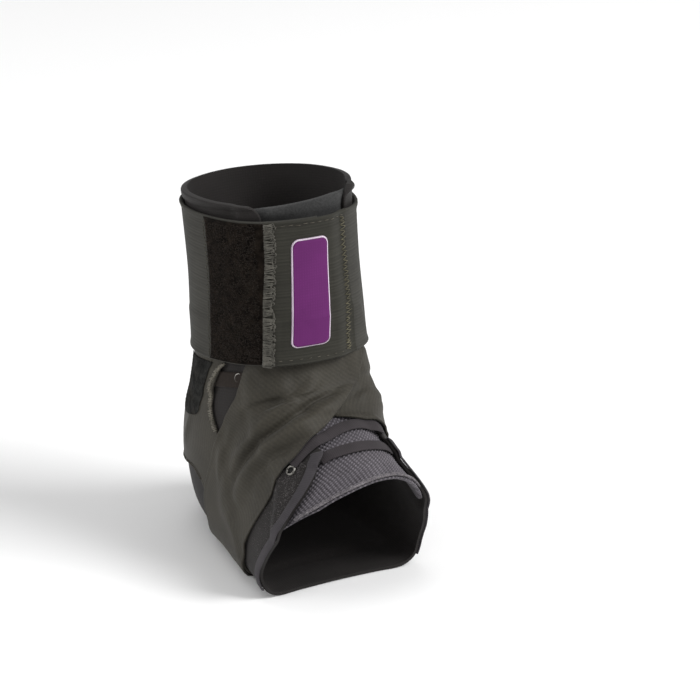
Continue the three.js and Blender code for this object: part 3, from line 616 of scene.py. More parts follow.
def cuff_material(name="cuff_elastic", rgb=(46, 45, 40)):
    c = Cloth(name, rgb, rough=.8, sheen=.05, specular=.12)
    ribs = c.wave(c.uvw(), 1.6, distortion=.5, detail=1.5, dscale=1.2, direction="Y")
    streak = c.noise(1.0, 3, vector=c.uvw(.35, 14), dims="2D")
    c.shade(c.ramp(ribs, .92, 1.05))
    c.shade(c.ramp(streak, .86, 1.14, .3, .7))
    c.shade(c.ramp(c.noise(30, 3), .88, 1.1, .3, .7))
    c.bump(ribs, .09, .6)
    c.bump(c.noise(700, 3), .06, .5)
    return c.done()


def pile_material(name="loop_pile", rgb=(22, 18, 15)):
    c = Cloth(name, rgb, rough=.97, sheen=.03, specular=.03)
    c.mix(c.ramp(c.noise(55, 5, .7), 0, .7, .48, .74), (36, 31, 26))
    c.mix(c.ramp(c.noise(620, 3, .7), 0, .4, .6, .78), (66, 60, 53))
    c.shade(c.ramp(c.noise(240, 3, .6), .45, 1.75, .32, .68))
    c.bump(c.noise(420, 5, .75), .5, .9)
    c.bump(c.noise(1300, 3, .7), .25, .8)
    return c.done()


def wall_material(name="boot_nylon", rgb=(32, 29, 28)):
    c = Cloth(name, rgb, rough=.68, sheen=.05, specular=.2)
    a = c.wave(c.uvw(), 1.4, distortion=.6, detail=1)
    b = c.wave(c.uvw(), 1.4, direction="Y", distortion=.6, detail=1)
    weave = c.math("MULTIPLY", a, b)
    c.shade(c.ramp(weave, .85, 1.1))
    c.shade(c.ramp(c.noise(36, 4), .84, 1.14, .3, .7))
    c.bump(weave, .07, .6)
    c.bump(c.noise(180, 4), .1, .5)
    return c.done()


def tongue_material():
    c = Cloth("tongue_mesh", (98, 94, 99), rough=.9, sheen=.06, specular=.12)
    n = c.node("ShaderNodeSeparateXYZ")
    c.link(c.uv, n.inputs[0])
    cx = c.math("COSINE", c.math("MULTIPLY", n.outputs[0], 2 * math.pi * 10 / 2.9))
    cy = c.math("COSINE", c.math("MULTIPLY", n.outputs[1], 2 * math.pi * 10 / 2.5))
    c.shade(c.ramp(c.math("MULTIPLY", cx, cy), .55, 1.12, -.15, .45))
    c.mix(c.ramp(n.outputs[1], 1, 0, 2.3, 2.6), (50, 50, 50))
    c.shade(c.ramp(c.noise(60, 4), .82, 1.12, .3, .7))
    c.shade(c.ramp(c.noise(1100, 3, .7), .74, 1.22, .3, .7))
    c.bump(c.noise(1500, 3, .7), .16, .8)
    return c.done()


def tape_material(name, rgb, rough=.8):
    c = Cloth(name, rgb, rough=rough, sheen=.05, specular=.18)
    ribs = c.wave(c.uvw(), .9, distortion=.3, detail=1)
    c.shade(c.ramp(ribs, .88, 1.08))
    c.shade(c.ramp(c.noise(80, 4), .86, 1.12, .3, .7))
    c.bump(ribs, .07, .6)
    c.bump(c.noise(500, 3), .06, .5)
    return c.done()


def thread_material(name, rgb):
    c = Cloth(name, rgb, rough=.9, sheen=.06, specular=.1)
    c.shade(c.ramp(c.noise(320, 4, .7), .62, 1.3, .3, .7))
    c.bump(c.noise(2200, 2), .08, .7)
    return c.done()


def metal_material():
    c = Cloth("eyelet_metal", (112, 110, 106), rough=.34, sheen=0, metallic=1.0, specular=.5)
    c.mix(c.ramp(c.noise(240, 4, .6), 0, .75, .5, .68), (52, 50, 48))
    c.bump(c.noise(300, 3), .05, .4)
    return c.done()


def label_material():
    c = Cloth("label_woven", (92, 30, 92), rough=.6, sheen=0, specular=.18)
    a = c.wave(c.uvw(), 1.3)
    b = c.wave(c.uvw(), 1.3, direction="Y")
    c.shade(c.ramp(c.math("MULTIPLY", a, b), .93, 1.05))
    c.shade(c.ramp(c.noise(60, 3), .94, 1.06, .3, .7))
    c.bump(c.math("MULTIPLY", a, b), .03, .5)
    return c.done()


MAT = {
    # the band's elastic is the flap's elastic made lighter, (55, 54, 50) against (46, 45, 40): painted light from the
    # left
    "strap": strap_material(), "cuff": cuff_material(), "cuff_band_painted_light": cuff_material("cuff_band_elastic", (55, 54, 50)), "pile": pile_material(), "wall": wall_material(),
    "tongue": tongue_material(), "toe_tape": thread_material("toe_edge_tape", (84, 80, 84)), "binding": tape_material("binding_tape", (58, 55, 58)),
    "lace": tape_material("lace_webbing", (50, 46, 48)), "toe": thread_material("toe_edge_felt", (124, 120, 122)),
    "overlock": thread_material("overlock_thread", (84, 82, 76)), "tail": thread_material("tail_thread", (112, 108, 99)), "stitch": thread_material("stitch_thread", (80, 76, 68)),
    "fuzz": thread_material("pile_thread", (40, 34, 29)), "yellow": thread_material("zigzag_thread", (92, 88, 72)),
    # a near-black copy of the boot nylon for the eyelet holes: painted shade
    "grey": thread_material("binding_thread", (96, 92, 92)), "hole_painted_shade": wall_material("eyelet_hole_painted_shade", (12, 11, 11)),
    "metal": metal_material(), "label": label_material(), "border": tape_material("label_border", (208, 192, 208), .6),
    "band": tape_material("upper_band_webbing", (38, 32, 28)), "dark_pile": pile_material("strap_tail_pile", (30, 30, 29)),
}


def finish_piece(obj, mat, slot, *nodes):
    obj.data.materials.clear()
    obj.data.materials.append(MAT[mat])
    if nodes:
        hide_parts(*nodes)
    return obj


rng = np.random.default_rng(7)

# ------------------------------------------------------------------ boot walls
def wall_patch(side, edge, n_rows=250, n_cols=110):
    """Rows run from the heel and sole seam to the front edge; v is a single-valued way down the edge."""
    dense_v = np.linspace(edge[0, 1], edge[-1, 1], 4000)
    line = smooth_line(edge, 1500)
    order = np.maximum.accumulate(line[:, 1])
    keep = np.concatenate([[True], np.diff(order) > 1e-6])
    edge_u = np.interp(dense_v, order[keep], line[keep, 0])
    P = form(edge_u, dense_v)
    run = np.concatenate([[0], np.cumsum(np.linalg.norm(np.diff(P, axis=0), axis=1) + np.diff(dense_v) * 9)])
    w = edge_steps(run[-1], n=n_rows)
    v0 = np.interp(w * run[-1], run, dense_v)
    ue = np.interp(v0, dense_v, edge_u)
    a = edge_steps(130.0, n=n_cols)
    seam = side * 179.985
    u = seam + (ue[:, None] - seam) * a[None]
    lift = table(RIM, u) - edge[0, 1]
    v = v0[:, None] + lift * (1 - step(v0, edge[0, 1], 2.2))[:, None]
    return u, v


def wall_relief(side):
    def relief(s, t, edge):
        # a padded roll along the top rim, a slight seam ridge at the heel
        roll = 1.5 * np.sqrt(np.clip(1 - ((t - 3.6) / 3.9) ** 2, 0, 1))
        seam = .3 * np.exp(-(s / 2.6) ** 2) * step(t, 100, 112) * (1 - step(t, 150, 170)) - .22 * np.exp(-((s - 4.2) / .7) ** 2)
        return roll + seam
    return relief


for side, edge, name in ((-1, LATERAL_EDGE, "lateral_quarter"), (1, MEDIAL_EDGE, "medial_quarter")):
    u, v = wall_patch(side, edge)
    piece = shell(name + "_cloth", u, v, look_up(H["wall_in"], u, v), look_up(H["wall_out"], u, v), coarse=2,
                  relief=wall_relief(side), flip=side > 0, join_left=True)
    finish_piece(piece, "wall", "boot_nylon", name)

# ------------------------------------------------------------------ tongue
MESH_X, MESH_Y = 2.9, 2.5


def tongue_patch():
    w = np.concatenate([np.linspace(0, .55, 60)[:-1], np.linspace(.55, 1, 240)])
    w = w[: (len(w) - 1) // 4 * 4 + 1] / w[(len(w) - 1) // 4 * 4]
    x = np.linspace(-1, 1, 257)
    W, X = np.meshgrid(w, x, indexing="ij")
    v = .7 + (11.75 - .7) * W
    for _ in range(3):
        u = X * table(TONGUE_HALF, v)
        top, toe = table(TONGUE_TOP, u), table(TONGUE_TOE, u)
        v = top + (toe - top) * W
    return u, v


u, v = tongue_patch()
# 1 where no quarter covers the tongue
tongue_free = 1 - step(look_up(D_WALL, u, v), -5.5, -.5)


def knobs(s, t, edge):
    # knobbly spacer mesh: staggered rounded cells, with wear; a smooth padded roll along the top
    lobe = np.cos(2 * np.pi * s / MESH_X) * np.cos(2 * np.pi * t / MESH_Y)
    wear = .8 + .25 * np.sin(s * .31 + 2) * np.sin(t * .27 + 1)
    knob = .72 * wear * np.sqrt(np.clip(lobe, 0, 1)) - .76
    roll = 1.3 * np.sqrt(np.clip(1 - ((t - 3.8) / 4.0) ** 2, 0, 1))
    return knob * step(t, 20, 26) + roll * tongue_free + .1 * (np.sin(s * .19 + 1.2) * np.sin(t * .13) - 1)


piece = shell("tongue_pad", u, v, look_up(H["tongue_in"], u, v), look_up(H["tongue_out"], u, v), coarse=4,
              relief=knobs, round_r=1.2, flip=False)
finish_piece(piece, "tongue", "tongue_mesh", "tongue")

# ------------------------------------------------------------------ straps
def declare_sheet(u, v, h):
    """Places the cloth's points at height h over the form; nothing more is done with them."""
    P = place(u, v, h)


def strap_patch(stations, n_long=330, n_wide=52):
    line = smooth_line(stations, n_long)
    width = 50.0
    x = edge_steps(width, n=n_wide)
    u = line[:, :1] + (line[:, 2:3] - line[:, :1]) * x[None]
    v = line[:, 1:2] + (line[:, 3:4] - line[:, 1:2]) * x[None]
    return u, v


H["outer_fold"] = np.maximum(fold_field(FOLDS) - fold_field(TUCKS), 0)
H["inner_fold"] = fold_field(INNER_FOLDS) * (1 - step(D_OUTER, -9, -3))
for name, stations, low, high, flip, fold in (
        ("strap_inner", INNER, "inner_in", "inner_out", True, "inner_fold"),
        ("strap_outer", STRAP, "outer_in", "outer_out", False, "outer_fold")):
    u, v = strap_patch(stations)
    lift = look_up(H[fold], u, v) if fold else 0
    piece = shell(name + "_webbing", u, v, look_up(H[low], u, v) + lift, look_up(H[high], u, v) + lift, coarse=1,
                  round_r=.6, flip=flip, even_weave=True, relief=lambda s, t, edge: -.22 * np.exp(-((edge - 2.6) / .45) ** 2))
    finish_piece(piece, "strap", "strap_nylon", name)
    declare_sheet(u, v, look_up(H[low], u, v) + lift + STRAP_T / 2)

# ------------------------------------------------------------------ cuff
STACK = CUFF_T + .5 + PILE_T


def flap_rise(u):
    return STACK * (1 - step(u, 11, 25))


def edge_lift(u, v):
    """The cuff's two edges stand a little off what they cover."""
    share = (v - cuff_top(u)) / (cuff_bottom(u) - cuff_top(u))
    return .9 * (1 - step(share, 0, .07)) + .35 * step(share, .93, 1)


def cuff_base(u, v):
    return look_up(H["cuff"], u, v) + edge_lift(u, v)


def bridged(field, du=17, dv=8):
    """The field as stiff elastic spans it: hollows filled, steps eased."""
    high = field.copy()
    for k in range(-du, du + 1, 2):
        high = np.maximum(high, np.roll(field, k, axis=1) - .012 * k * k)
    side = high.copy()
    for k in range(1, dv + 1):
        side[k:] = np.maximum(side[k:], high[:-k] - .04 * k * k)
        side[:-k] = np.maximum(side[:-k], high[k:] - .04 * k * k)
    out = side
    for _ in range(12):
        out = (np.roll(out, 3, axis=1) + out + np.roll(out, -3, axis=1)) / 3
        pad = np.concatenate([out[:1].repeat(2, 0), out, out[-1:].repeat(2, 0)])
        out = (pad[:-4] + pad[2:-2] + pad[4:]) / 3
    return np.maximum(out, field)


H["cuff"] = bridged(H["strapped"]) + GAP


a = edge_steps(250, n=300)
b = edge_steps(75, n=70)
U_, B_ = np.meshgrid(CUFF_FROM + (CUFF_TO - CUFF_FROM) * a, b)
V_ = cuff_top(U_) + (cuff_bottom(U_) - cuff_top(U_)) * B_
low = cuff_base(U_, V_)
piece = shell("cuff_band_elastic", U_, V_, low, low + CUFF_T, coarse=3, round_r=.9, flip=True, join_left=True)
# the band wears the lighter copy of the cuff elastic: painted light from the left
finish_piece(piece, "cuff_band_painted_light", "cuff_elastic", "cuff_band")
declare_sheet(U_, V_, low + CUFF_T / 2)

U_, B_ = np.meshgrid(PILE_LEFT + (PILE_RIGHT - PILE_LEFT) * edge_steps(46, n=90), edge_steps(74, n=140))
V_ = cuff_top(U_) + .03 + (cuff_bottom(U_) - cuff_top(U_) - .06) * B_
low = cuff_base(U_, V_) + CUFF_T + .16
piece = shell("cuff_loop_pile", U_, V_, low, low + PILE_T, coarse=2, round_r=.8, flip=True)
finish_piece(piece, "pile", "loop_pile", "cuff_loop_patch")

left = lambda v: table(FLAP_EDGE, v)
A_, B_ = np.meshgrid(edge_steps(48, n=90), edge_steps(75, n=110))
V_ = 1.0 + 2.2 * B_
for _ in range(3):
    L_ = left(V_)
    U_ = L_ + (FLAP_RIGHT - L_) * A_
    V_ = cuff_top(U_) - .01 + (cuff_bottom(U_) - cuff_top(U_) + .02) * B_
low = cuff_base(U_, V_) + flap_rise(U_)
piece = shell("cuff_flap_elastic", U_, V_, low, low + CUFF_T, coarse=3, round_r=.9, flip=True, join_right=True)
finish_piece(piece, "cuff", "cuff_elastic", "cuff_flap")
declare_sheet(U_, V_, low + CUFF_T / 2)

# ------------------------------------------------------------------ label, on the flap
def label_point(x, y, h):
    """x across and y down the patch in mm from its centre; h above the flap's face."""
    v = np.interp(y, [-28, -18, 0, 18, 28], [1.25, 1.53, 2.04, 2.62, 2.93])
    centre = -2.8 - 4.3 * (y + 28) / 56
    u = centre + x / .80
    return place(u, v, cuff_base(u, v) + flap_rise(u) + CUFF_T + h)


def rounded(a, b, half_x, half_y, corner):
    """Square (a, b) in -1..1 to a rounded rectangle."""
    r = np.maximum(np.abs(a), np.abs(b)) + 1e-9
    x, y = a / r * half_x, b / r * half_y
    cx, cy = half_x - corner, half_y - corner
    ox, oy = np.maximum(np.abs(x) - cx, 0), np.maximum(np.abs(y) - cy, 0)
    d = np.hypot(ox, oy)
    k = np.where((ox > 0) & (oy > 0), corner / np.maximum(d, corner), 1)
    x, y = np.sign(x) * (np.minimum(np.abs(x), cx) + ox * k), np.sign(y) * (np.minimum(np.abs(y), cy) + oy * k)
    return x * r, y * r


def label_piece(name, half_x, half_y, corner, low_h, high_h, n=44, m=90):
    A, B = np.meshgrid(np.linspace(-1, 1, n), np.linspace(-1, 1, m))
    x, y = rounded(A, B, half_x, half_y, corner)
    rim = np.minimum((1 - np.maximum(np.abs(A), np.abs(B))) * half_x / .5, 1)
    top = label_point(x, y, low_h + (high_h - low_h) * np.sqrt(1 - (1 - rim) ** 2) * .999 + .0)
    bottom = label_point(x, y, np.full(A.shape, low_h))
    idx = np.arange(n * m).reshape(m, n)
    faces = [tuple(f) for f in grid_faces(idx).tolist()] + [tuple(f[::-1]) for f in (grid_faces(idx) + n * m).tolist()]
    loop = np.concatenate([idx[0, :-1], idx[:-1, -1], idx[-1, :0:-1], idx[:0:-1, 0]])
    for p, q in zip(loop, np.roll(loop, -1)):
        faces.append((int(q), int(p), int(p + n * m), int(q + n * m)))
    uvs = np.stack([x, y], -1).reshape(-1, 2) / 10
    return new_object(name, np.concatenate([top.reshape(-1, 3), bottom.reshape(-1, 3)]), [f[::-1] for f in faces],
                      np.concatenate([uvs, uvs]))


border = label_piece("label_border", 10.2, 26.2, 4.0, .15, .62)
finish_piece(border, "border", "label_woven", "label")
field = label_piece("label_field", 9.4, 25.4, 3.3, .66, .84)
finish_piece(field, "label", "label_woven")


# ------------------------------------------------------------------ tapes and laces
def tape(name, path, width, thick, height, clear, n=120, crown=.25, ends_down=0.0):
    line = smooth_line(path, n)
    x = np.array([-1, -.94, -.8, -.4, 0, .4, .8, .94, 1])
    P, N = form(line[:, 0], line[:, 1]), form_normal(line[:, 0], line[:, 1])
    t, side, up = frames_along(P, N)
    # half width as a step in (u, v)
    pu = (form(line[:, 0] + .5, line[:, 1]) - form(line[:, 0] - .5, line[:, 1]))
    pv = (form(line[:, 0], line[:, 1] + .02) - form(line[:, 0], line[:, 1] - .02)) / .04
    uu, uv_, vv = (pu * pu).sum(1), (pu * pv).sum(1), (pv * pv).sum(1)
    det = uu * vv - uv_ ** 2
    su, sv = (side * pu).sum(1), (side * pv).sum(1)
    du, dv = (su * vv - sv * uv_) / det, (sv * uu - su * uv_) / det
    U = line[:, :1] + du[:, None] * x[None] * width / 2
    V = line[:, 1:2] + dv[:, None] * x[None] * width / 2
    h = look_up(height, U, V)
    h = np.maximum(h, h[:, 4:5] - .3)
    s = run_lengths(P, 0)
    dip = ends_down * (np.exp(-(s / 3) ** 2) + np.exp(-((s[-1] - s) / 3) ** 2))
    h = h + clear - dip[:, None]
    prof = np.sqrt(1 - np.abs(x) ** 6)
    top = place(U, V, h + thick * (.5 + .5 * prof)[None] + crown * (1 - x[None] ** 2))
    bottom = place(U, V, h + thick * (.5 - .5 * prof)[None])
    m = len(x)
    idx = np.arange(n * m).reshape(n, m)
    faces = [tuple(f) for f in grid_faces(idx).tolist()] + [tuple(f[::-1]) for f in (grid_faces(idx) + n * m).tolist()]
    for k in range(n - 1):
        for c in (0, m - 1):
            f = (int(idx[k, c]), int(idx[k + 1, c]), int(idx[k + 1, c] + n * m), int(idx[k, c] + n * m))
            faces.append(f if c == 0 else f[::-1])
    for r in (0, n - 1):
        for c in range(m - 1):
            f = (int(idx[r, c]), int(idx[r, c + 1]), int(idx[r, c + 1] + n * m), int(idx[r, c] + n * m))
            faces.append(f[::-1] if r == 0 else f)
    uvs = np.stack([np.broadcast_to(s[:, None], U.shape), np.broadcast_to(x[None] * width / 2, U.shape)], -1).reshape(-1, 2) / 10
    obj = new_object(name, np.concatenate([top.reshape(-1, 3), bottom.reshape(-1, 3)]), faces, np.concatenate([uvs, uvs]))
    return obj


def edge_inset(edge, start, stop, inset_mm, n=24):
    """A path beside an edge, inset_mm towards larger |u| or smaller v, on the surface."""
    line = smooth_line(edge, 400)
    line = line[(line[:, 1] >= start) & (line[:, 1] <= stop)]
    P, N = form(line[:, 0], line[:, 1]), form_normal(line[:, 0], line[:, 1])
    t, side, up = frames_along(P, N)
    pu = (form(line[:, 0] + .5, line[:, 1]) - form(line[:, 0] - .5, line[:, 1]))
    pv = (form(line[:, 0], line[:, 1] + .02) - form(line[:, 0], line[:, 1] - .02)) / .04
    uu, uv_, vv = (pu * pu).sum(1), (pu * pv).sum(1), (pv * pv).sum(1)
    det = uu * vv - uv_ ** 2
    su, sv = (side * pu).sum(1), (side * pv).sum(1)
    du, dv = (su * vv - sv * uv_) / det, (sv * uu - su * uv_) / det
    away = np.sign((du * (line[:, 0] - 0)).mean())
    out = np.stack([line[:, 0] + away * du * inset_mm, line[:, 1] + away * dv * inset_mm], 1)
    return out[np.linspace(0, len(out) - 1, n).astype(int)]


for side_name, edge in (("lateral", LATERAL_EDGE), ("medial", MEDIAL_EDGE)):
    path = edge_inset(edge, 9.15 if side_name == "lateral" else 8.75, 12.44, 2.2)
    piece = tape("front_binding_tape_" + side_name, path, 5.6, .9, H["wall_out"], .12, n=160, crown=.3)
    finish_piece(piece, "binding", "binding_tape", "front_binding_" + side_name)

piece = tape("lace_crossing", CROSS_LACE, 6.4, .9, H["boot"], .3, n=110, crown=.2, ends_down=.2)
finish_piece(piece, "lace", "lace_webbing", "cross_lace")
piece = tape("lace_front", FRONT_LACE, 6.3, .85, H["tongue_out"], .2, n=110, crown=.2, ends_down=.1)
finish_piece(piece, "lace", "lace_webbing", "front_lace")
for name, path in (("lateral", UPPER_LATERAL), ("medial", UPPER_MEDIAL)):
    piece = tape("upper_band_" + name, path, 8.0, .9, H["wall_out"], .2, n=60, crown=.1)
    finish_piece(piece, "band", "lace_webbing", "upper_lace_band_" + name)

toe = [(-50, 11.86), (-36, 11.9), (-16, 11.76), (4, 11.53), (22, 11.4), (42, 11.42), (50.5, 11.5)]
piece = tape("toe_edge_tape", toe, 1.7, .8, H["tongue_out"], .05, n=150, crown=.3)
finish_piece(piece, "toe_tape", "toe_edge_felt", "tongue_toe_edge")


# ------------------------------------------------------------------ eyelets
def eyelet(name, u, v, node, outer=2.9, hole=1.5):
    c = place(np.array(u), np.array(v), np.array(look_up(H["wall_out"], u, v) + .25))
    n = form_normal(np.array(float(u)), np.array(float(v)))
    a = np.cross(n, [0, 0, 1.0]); a /= np.linalg.norm(a)
    b = np.cross(n, a)
    prof = np.array([(hole, -.35), (hole, .35), (hole + .25, .75), ((hole + outer) / 2, .95), (outer - .3, .7), (outer, .2), (outer, -.1)])
    k, sides = len(prof), 40
    ang = np.linspace(0, 2 * np.pi, sides, endpoint=False)
    ring = (c[None, None] + prof[:, None, 0:1] * (a * np.cos(ang)[None, :, None] + b * np.sin(ang)[None, :, None])
            + prof[:, None, 1:2] * n)
    idx = np.arange(k * sides).reshape(k, sides)
    nxt = np.roll(idx, -1, axis=1)
    down = np.roll(idx, -1, axis=0)
    dn = np.roll(nxt, -1, axis=0)
    faces = np.stack([idx, nxt, dn, down], -1).reshape(-1, 4)
    obj = new_object(name, ring.reshape(-1, 3), [tuple(f) for f in faces.tolist()])
    finish_piece(obj, "metal", "eyelet_metal", node)
    # a closed low lens sunk in the ring, near-black: painted shade in the eyelet's hole
    prof = np.array([(0, -.05), (hole * .55, -.02), (hole * .98, .05), (hole * .98, -.3), (hole * .5, -.3), (0, -.3)])
    ring = (c[None, None] + prof[1:-1, None, 0:1] * (a * np.cos(ang)[None, :, None] + b * np.sin(ang)[None, :, None])
            + prof[1:-1, None, 1:2] * n)
    idx = np.arange(4 * sides).reshape(4, sides)
    nxt = np.roll(idx, -1, axis=1)
    faces = [tuple(f) for f in np.stack([idx[:-1], idx[1:], nxt[1:], nxt[:-1]], -1).reshape(-1, 4).tolist()]
    first, last = 4 * sides, 4 * sides + 1
    faces += [(first, int(idx[0, k]), int(nxt[0, k])) for k in range(sides)]
    faces += [(last, int(nxt[3, k]), int(idx[3, k])) for k in range(sides)]
    verts = np.concatenate([ring.reshape(-1, 3), [c + prof[0, 1] * n, c + prof[-1, 1] * n]])
    finish_piece(new_object(name + "_hole_painted_shade", verts, [f[::-1] for f in faces]), "hole_painted_shade", "boot_nylon")
    return obj


eyelet("eyelet_ring_front_lateral", -38.5, 9.5, "eyelet_front_lateral")
eyelet("eyelet_ring_front_medial", 50, 9.35, "eyelet_front_medial")
eyelet("eyelet_ring_upper_lateral", -54, 3.62, "eyelet_upper_lateral")
eyelet("eyelet_ring_upper_medial", 54, 3.62, "eyelet_upper_medial")


# ------------------------------------------------------------------ stitching, fibres and edges
def unit(x):
    return x / (np.linalg.norm(x, axis=-1, keepdims=True) + 1e-12)


def steps_of(u, v):
    """(u, v) for one mm round the section and one mm down."""
    pu = np.linalg.norm(form(u + .5, v) - form(u - .5, v), axis=-1)
    pv = np.linalg.norm(form(u, v + .02) - form(u, v - .02), axis=-1) / .04
    return 1 / pu, 1 / pv


def flap_top(u, v):
    return cuff_base(u, v) + flap_rise(u) + CUFF_T


def threads_at(name, items, radius, mat, slot, height, sides=5):
    """items: list of (u, v, lift) arrays; each becomes one little thread lying on a height function."""
    lines, radii = [], []
    for u, v, lift in items:
        u, v = np.asarray(u, float), np.asarray(v, float)
        lines.append(place(u, v, height(u, v) + np.asarray(lift, float)))
        radii.append(radius * rng.uniform(.8, 1.2))
    return finish_piece(tubes(name, lines, radii, sides), mat, slot)


# overlocked edge of the flap: cross threads over the edge, and loops along their inner ends
items = []
vs = np.linspace(1.02, 3.245, 126)
for k, v0 in enumerate(vs):
    e = table(FLAP_EDGE, v0)
    su, sv = steps_of(np.array(e), np.array(v0))
    reach = 3.7 + rng.uniform(-1.1, .6)
    q = np.array([-.35, .1, .8, 1.9, 3.0, reach])
    lift = np.array([-.9, .05, .38, .4, .36, .12]) + rng.uniform(-.12, .3)
    slant = rng.uniform(-1.3, 1.6)
    items.append((e + q * su, v0 + slant * sv * q / 4 + rng.uniform(-.15, .15) * sv, lift))
    w = np.linspace(-1, 1, 7)
    items.append((e + (reach - .5 + .7 * (1 - w ** 2)) * su, v0 + w * .75 * sv, .28 + .35 * (1 - w ** 2)))
threads_at("flap_overlock", items, .31, "overlock", "cuff_elastic", flap_top)

# long irregular zigzag near the flap's other end, and dashes along top and bottom
items = []
vs = np.linspace(1.1, 3.17, 62)
for k in range(len(vs) - 1):
    def at(v0, flip):
        u0 = 25.2 - 3.6 * step(v0, 1.7, 3.2) + rng.uniform(-.9, .9)
        su, sv = steps_of(np.array(u0), np.array(v0))
        return u0 + (1.5 if flip else -1.5) * su, v0
    a0, b0 = at(vs[k], k % 2), at(vs[k + 1] + rng.uniform(-.012, .012), (k + 1) % 2)
    w = np.linspace(0, 1, 6)
    items.append((a0[0] + (b0[0] - a0[0]) * w, a0[1] + (b0[1] - a0[1]) * w, .12 + .3 * np.sin(np.pi * w)))
threads_at("flap_zigzag", items, .2, "yellow", "cuff_elastic", flap_top)
items = []
for side, inset, length, gap in ((0, 2.2, 2.2, 3.4), (1, 2.6, 1.5, 3.9)):
    u0 = -27.0
    while u0 < 24:
        base_v = cuff_top(u0) if side == 0 else cuff_bottom(u0)
        su, sv = steps_of(np.array(u0), np.array(base_v))
        v0 = base_v + (inset if side == 0 else -inset) * sv + rng.uniform(-.2, .2) * sv
        w = np.linspace(0, 1, 5)
        items.append((u0 + w * length * su, v0 + 0 * w + rng.uniform(-.5, .5) * sv * w * .5, .02 + .24 * np.sin(np.pi * w)))
        u0 += (gap + rng.uniform(-.3, .3)) * su
threads_at("flap_stitches", items, .2, "stitch", "cuff_elastic", flap_top)


def band_top(u, v):
    return cuff_base(u, v) + CUFF_T


def pile_top(u, v):
    return cuff_base(u, v) + CUFF_T + .16 + PILE_T


# stitch line beside the pile, and loops standing on the pile
items = []
for v0 in np.arange(1.04, 3.12, .05):
    u0 = PILE_LEFT - 2.5 + rng.uniform(-.6, .6)
    su, sv = steps_of(np.array(u0), np.array(v0))
    w = np.linspace(0, 1, 5)
    items.append((u0 + rng.uniform(-1, 1) * su * w, v0 + w * 1.1 * sv, .0 + .26 * np.sin(np.pi * w)))
threads_at("pile_stitches", items, .2, "stitch", "cuff_elastic", band_top)
items = []
for _ in range(3600):
    u0, v0 = rng.uniform(PILE_LEFT + 1, -36.5), rng.uniform(1.03, 3.14)
    su, sv = steps_of(np.array(u0), np.array(v0))
    ang, size = rng.uniform(0, 2 * np.pi), rng.uniform(.35, .7)
    w = np.linspace(-1, 1, 5)
    items.append((u0 + np.cos(ang) * size * w * su, v0 + np.sin(ang) * size * w * sv, -.12 + rng.uniform(.35, .65) * (1 - w ** 2)))
threads_at("pile_loops", items, .13, "fuzz", "loop_pile", pile_top, sides=4)


# edges of the strap's tail above the dark gap: bright overlocked border and a stitched pile patch
def inner_top(u, v):
    return look_up(H["inner_out"], u, v)


def along(points, n):
    return smooth_line(points, n)


tail_front = [(-64.5, 3.3), (-69, 3.5), (-73.5, 3.9), (-72.8, 4.5), (-72, 5.2), (-71, 6.0)]
tail_rear = [(-98, 7.8), (-104, 7.37), (-118, 7.12), (-130, 6.95)]


def whip(points, n, reach, inward):
    """Whip stitches across an edge; inward is the (u, v) mm direction into the cloth."""
    out = []
    for u0, v0 in along(points, n):
        su, sv = steps_of(np.array(u0), np.array(v0))
        q = np.linspace(-.2, reach * rng.uniform(.75, 1.1), 5)
        lift = np.array([-.25, .22, .34, .3, .05])
        j = rng.uniform(-.5, .5)
        out.append((u0 + (inward[0] * q + j * inward[1] * q * .3) * su, v0 + (inward[1] * q - j * inward[0] * q * .3) * sv, lift))
    return out


threads_at("tail_overlock", whip(tail_front, 46, 3.0, (-1, .2)) + whip(tail_front, 34, 1.8, (-1, -.6)), .27, "tail", "strap_nylon", inner_top)
threads_at("tail_stitches", whip(tail_rear, 30, 1.5, (0.2, -1)), .2, "stitch", "strap_nylon", inner_top)
V_, A_ = np.meshgrid(np.linspace(3.3, 5.3, 90), edge_steps(18, n=46), indexing="ij")
R_ = np.interp(V_, [3.3, 3.9, 4.5, 4.9, 5.3], [-76, -79.5, -82, -83, -84])
L_ = np.interp(V_, [3.3, 4.2, 4.9, 5.3], [-116, -114, -112, -110])
U_ = L_ + (R_ - L_) * A_
V_ = V_ - .22 * np.abs(2 * A_ - 1) ** 5 * (V_ - 3.3) / 2
low = look_up(H["inner_out"] + H["inner_fold"], U_, V_) + .14
piece = shell("tail_loop_pile", U_, V_, low, low + .4, coarse=1, round_r=.6, flip=False,
              relief=lambda s, t, edge: .08 * np.sin(s * 3.1) * np.sin(t * 2.9))
finish_piece(piece, "dark_pile", "loop_pile")
patch = [(-77, 3.2), (-84, 4.15), (-84, 5.0), (-90, 5.25), (-100, 5.25), (-111, 4.9), (-114, 4.2), (-115, 3.4)]
items = []
dense = along(patch, 90)
for k in range(len(dense)):
    u0, v0 = dense[k]
    su, sv = steps_of(np.array(u0), np.array(v0))
    ang = rng.uniform(0, 2 * np.pi)
    w = np.linspace(-1, 1, 5)
    items.append((u0 + np.cos(ang) * .7 * w * su, v0 + np.sin(ang) * .7 * w * sv, .05 + .25 * (1 - w ** 2)))
threads_at("tail_patch_stitches", items, .17, "stitch", "strap_nylon", inner_top)

# raw toe edge of the tongue: a fringe of short fibres
def tongue_top_h(u, v):
    return look_up(H["tongue_out"], u, v) + .5


items = []
for u0, v0 in along(toe, 620):
    su, sv = steps_of(np.array(u0), np.array(v0))
    for _ in range(4):
        q = np.linspace(-1, 1, 4)
        ang = rng.normal(1.57, .6)
        r = rng.uniform(.4, .85)
        items.append((u0 + (np.cos(ang) * r * q + rng.uniform(-.5, .5)) * su, v0 + (np.sin(ang) * r * q + rng.uniform(-.5, .5)) * sv,
                      rng.uniform(-.1, .3) + .3 * (1 - q ** 2)))
threads_at("toe_edge_fibres", items, .13, "toe", "toe_edge_felt", tongue_top_h, sides=4)

